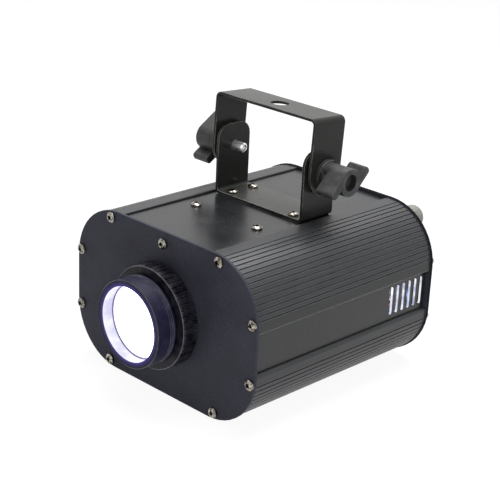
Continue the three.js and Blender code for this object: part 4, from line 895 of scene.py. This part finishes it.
# Bare sheet aluminium is a bright cool grey and a motor's can a darker one. The fan is a black
# ABS with a slight shine.
bare_aluminium = plated("bright_aluminium", "#b9bcc0", "#5a5c60", 0.36)
motor_steel = plated("motor_steel", "#8d9094", "#3a3c3e", 0.36)
black_abs = moulded("black_abs", "#19191b", "#55565a", 0.46, 0.4 * mm)
clear_glass = pressed_glass("clear_condenser_glass", "#e4e8ee", 3 * mm)
laminate = board_laminate("green_circuit_board", "#16412c", "#2d6b48", 2.5 * mm)
carried_over = {
    "barrel_guide": black_oxide,
    "optics_bracket": bare_aluminium,
    "heat_sink": bare_aluminium,
    "condenser_lens": clear_glass,
    "led_board": laminate,
    "gobo_wheel": plate_coat,
    "gobo_motor": motor_steel,
    "fan_frame": black_abs,
    "fan_rotor": black_abs,
    "power_board": laminate,
    "speed_potentiometer": motor_steel,
}
for name, material in carried_over.items():
    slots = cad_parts[name].data.materials
    slots.clear()
    slots.append(material)

# Mains wiring: a white nylon terminal block on the inside of the rear plate, with PVC wires,
# that shows through the right-hand vents. Light from the lamp strays on it.


def wire(name, colour, points):
    """A stranded wire in shiny PVC, along a smooth line through its points, given in mm."""
    insulation = moulded(f"{name}_pvc", colour, "#ffffff", 0.35, 0.8 * mm)
    line = bpy.data.curves.new(name, "CURVE")
    line.dimensions = "3D"
    line.bevel_depth = 0.65 * mm
    line.bevel_resolution = 3
    line.use_fill_caps = True
    spline = line.splines.new("BEZIER")
    spline.bezier_points.add(len(points) - 1)
    for point, place in zip(spline.bezier_points, points):
        point.co = Vector(place) * mm
        point.handle_left_type = point.handle_right_type = "AUTO"
    holder = bpy.data.objects.new(name, line)
    mesh = bpy.data.meshes.new_from_object(holder)
    bpy.data.objects.remove(holder)
    shape = bmesh.new()
    shape.from_mesh(mesh)
    bpy.data.meshes.remove(mesh)
    finished(name, shape, insulation, "housing", "black_nylon")


# Unfilled nylon is a milky white with soft edges
white_nylon = moulded("white_nylon", "#dfe2e8", "#ffffff", 0.45, 0.4 * mm)
block_low = Vector((44, 61, 26)) * mm
block_high = Vector((63, 78.4, 52)) * mm
block_poles = 3
well_rim = 1.2 * mm
well_depth = 1.5 * mm
terminal = bmesh.new()
bmesh.ops.create_cube(terminal, size=1)
bmesh.ops.scale(terminal, vec=block_high - block_low, verts=terminal.verts)
bmesh.ops.translate(terminal, vec=(block_low + block_high) / 2, verts=terminal.verts)
for bound in range(1, block_poles):
    bound_z = block_low.z + (block_high.z - block_low.z) * bound / block_poles
    cut_across(terminal, (0, 0, bound_z), (0, 0, 1))
fronts = [f for f in terminal.faces if abs(f.normal.y + 1) < 0.01 or abs(f.normal.x - 1) < 0.01]
bmesh.ops.inset_individual(terminal, faces=fronts, thickness=well_rim, depth=-well_depth)
soften(terminal, 0.3 * mm)
finished("terminal_block", terminal, white_nylon, "housing", "grey_nylon")

mains_run = ((52, 30, -2.5), (64, 42, -0.5), (71, 50, 0), (70.5, 55, 0), (63, 60, -0.5), (60, 62, -1))
mains_wires = (
    ("black_mains_wire", "#101012", 48.4),
    ("red_mains_wire", "#c01a26", 46.5),
    ("black_earth_wire", "#101012", 44.6),
)
for name, colour, height in mains_wires:
    wire(name, colour, [(x, y, height + z) for x, y, z in mains_run])
blue_run = ((62, 60, 33), (70, 57.5, 42), (71.5, 64, 40.5), (71, 69, 42), (70.5, 70, 47), (66, 74, 50))
wire("blue_fan_wire", "#5f93d8", blue_run)
violet_run = ((64, 48, 60), (71, 57, 57.5), (67, 66, 56), (60, 72, 54))
wire("violet_fan_wire", "#5a50c8", violet_run)

stray = bpy.data.lights.new("stray_lamp_light", "POINT")
stray.energy = 0.16
stray.color = (0.86, 0.9, 1)
stray.shadow_soft_size = 0.006
stray_holder = bpy.data.objects.new("stray_lamp_light", stray)
stray_holder.location = (0.066, 0.02, 0.058)
scene.collection.objects.link(stray_holder)

# Cable gland: grey nylon, a hexagonal body on the rear plate and a domed, fluted nut that
# squeezes a rubber seal. No cord is in it.


def shallow_flutes(count):
    """Rounded hollows, evenly spaced, as the share of their depth that a bearing loses."""
    return lambda bearing: max(0, math.cos(bearing * count))


# Grey nylon, a little warm and waxy, and a dull black rubber
grey_nylon = moulded("grey_nylon", "#787771", "#aeaca4", 0.42, 0.5 * mm)
seal_rubber = moulded("seal_rubber", "#141414", "#303030", 0.7, 0.5 * mm)
gland_body = solid_copy("cable_gland_body")
soften(gland_body, 0.35 * mm)
finished("gland_hex_body", gland_body, grey_nylon, "housing", "grey_nylon", "cable_gland_body")
nut_low, nut_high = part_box("cable_gland_nut")
nut_middle = (nut_low + nut_high) / 2
nut_radius = (nut_high.x - nut_low.x) / 2
nut_bore = 6.5 * mm
nut_mouth = 4.6 * mm
nut_round = 4.6 * mm
nut_edge = 0.4 * mm
thread_depth = 8.4 * mm
thread_end = 0.1 * mm
flute_count = 18
flute_depth = 0.5 * mm
flute_fade = 0.8 * mm
dome_bends = 5
start, end = nut_low.y, nut_high.y
collar_end = start + 11 * mm
nut_stations = [
    (nut_bore, 0, start),
    (nut_radius - nut_edge, 0, start),
    (nut_radius, 0, start + nut_edge),
    (nut_radius, flute_depth, start + nut_edge + flute_fade),
    (nut_radius, flute_depth, collar_end),
    (nut_radius, 0, collar_end + flute_fade),
]
for turn in (math.pi / 2 * i / dome_bends for i in range(dome_bends + 1)):
    inset, drop = nut_round * (1 - math.cos(turn)), nut_round * (1 - math.sin(turn))
    nut_stations.append((nut_radius - inset, 0, end - drop))
nut_stations += [
    (nut_mouth, 0, end),
    (nut_mouth, 0, start + thread_depth + thread_end),
    (nut_bore, 0, start + thread_depth),
    (nut_bore, 0, start),
]
nut = ribbed(nut_stations, nut_middle, flute_count * 4, shallow_flutes(flute_count))
finished("gland_nut_fluted", nut, grey_nylon, "housing", "grey_nylon", "cable_gland_nut")
seal_bore = 3.5 * mm
seal_ridge = 3.9 * mm
seal_radius = 4.4 * mm
seal_foot = start + 9 * mm
seal_face = end - 1.8 * mm
seal_crown = 0.4 * mm
seal_profile = [
    (seal_bore, seal_foot),
    (seal_radius, seal_foot),
    (seal_radius, seal_face),
    (seal_ridge, seal_face + seal_crown),
    (seal_bore, seal_face),
    (seal_bore, seal_foot),
]
seal = bmesh.new()
turned(seal, seal_profile, (nut_middle.x, 0, nut_middle.z), (0, 1, 0), steps=40)
finished("gland_seal", seal, seal_rubber, "housing", "black_nylon")

# Rocker switch and speed control, on the rear plate: black ABS, clipped or nutted in. The
# speed knob has a fluted grip and a white pointer line.

switch_frame = solid_copy("switch_frame")
soften(switch_frame, 0.4 * mm)
finished("switch_bezel", switch_frame, black_abs, "housing", "black_abs", "switch_frame")
rocker = solid_copy("switch_rocker")
soften(rocker, 0.3 * mm)
finished("switch_paddle", rocker, black_abs, "switch_rocker", "black_abs", "switch_rocker")
knob_low, knob_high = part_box("speed_knob")
knob_middle = (knob_low + knob_high) / 2
foot, cap = knob_low.y, knob_high.y
shaft_bore = 3.3 * mm
shaft_depth = 12.3 * mm
skirt_radius = (knob_high.x - knob_low.x) / 2
skirt_edge = 0.3 * mm
skirt_height = 2.2 * mm
skirt_slope = 0.4 * mm
grip_radius = skirt_radius - 0.5 * mm
grip_flutes = 18
grip_depth = 0.45 * mm
grip_start = 0.6 * mm
top_radius = 6.6 * mm
top_round = 0.8 * mm
dish_radius = 5 * mm
dish_slope = 0.3 * mm
dish_depth = 0.4 * mm
skirt_top = foot + skirt_height + skirt_slope
grip_stations = (
    (0, 0, foot + shaft_depth),
    (shaft_bore, 0, foot + shaft_depth),
    (shaft_bore, 0, foot),
    (skirt_radius - skirt_edge, 0, foot),
    (skirt_radius, 0, foot + skirt_edge),
    (skirt_radius, 0, foot + skirt_height),
    (grip_radius, 0, skirt_top),
    (grip_radius, grip_depth, skirt_top + grip_start),
    (top_radius, grip_depth, cap - top_round),
    (top_radius - 0.3 * mm, grip_depth / 2, cap - 0.25 * mm),
    (top_radius - top_round, 0, cap),
    (dish_radius, 0, cap),
    (dish_radius - dish_slope, 0, cap - dish_depth),
    (0, 0, cap - dish_depth),
)
speed_knob = ribbed(grip_stations, knob_middle, grip_flutes * 4, shallow_flutes(grip_flutes))
finished("speed_knob_fluted", speed_knob, black_abs, "speed_knob", "black_abs", "speed_knob")
pointer_size = (0.8 * mm, 0.3 * mm, 3.4 * mm)
pointer_place = (knob_middle.x, cap - 0.35 * mm, knob_middle.z + 2.4 * mm)
pointer = bmesh.new()
bmesh.ops.create_cube(pointer, size=1)
bmesh.ops.scale(pointer, vec=pointer_size, verts=pointer.verts)
bmesh.ops.translate(pointer, vec=pointer_place, verts=pointer.verts)
soften(pointer, 0.1 * mm)
finished("speed_pointer", pointer, white_nylon, "speed_knob", "grey_nylon")
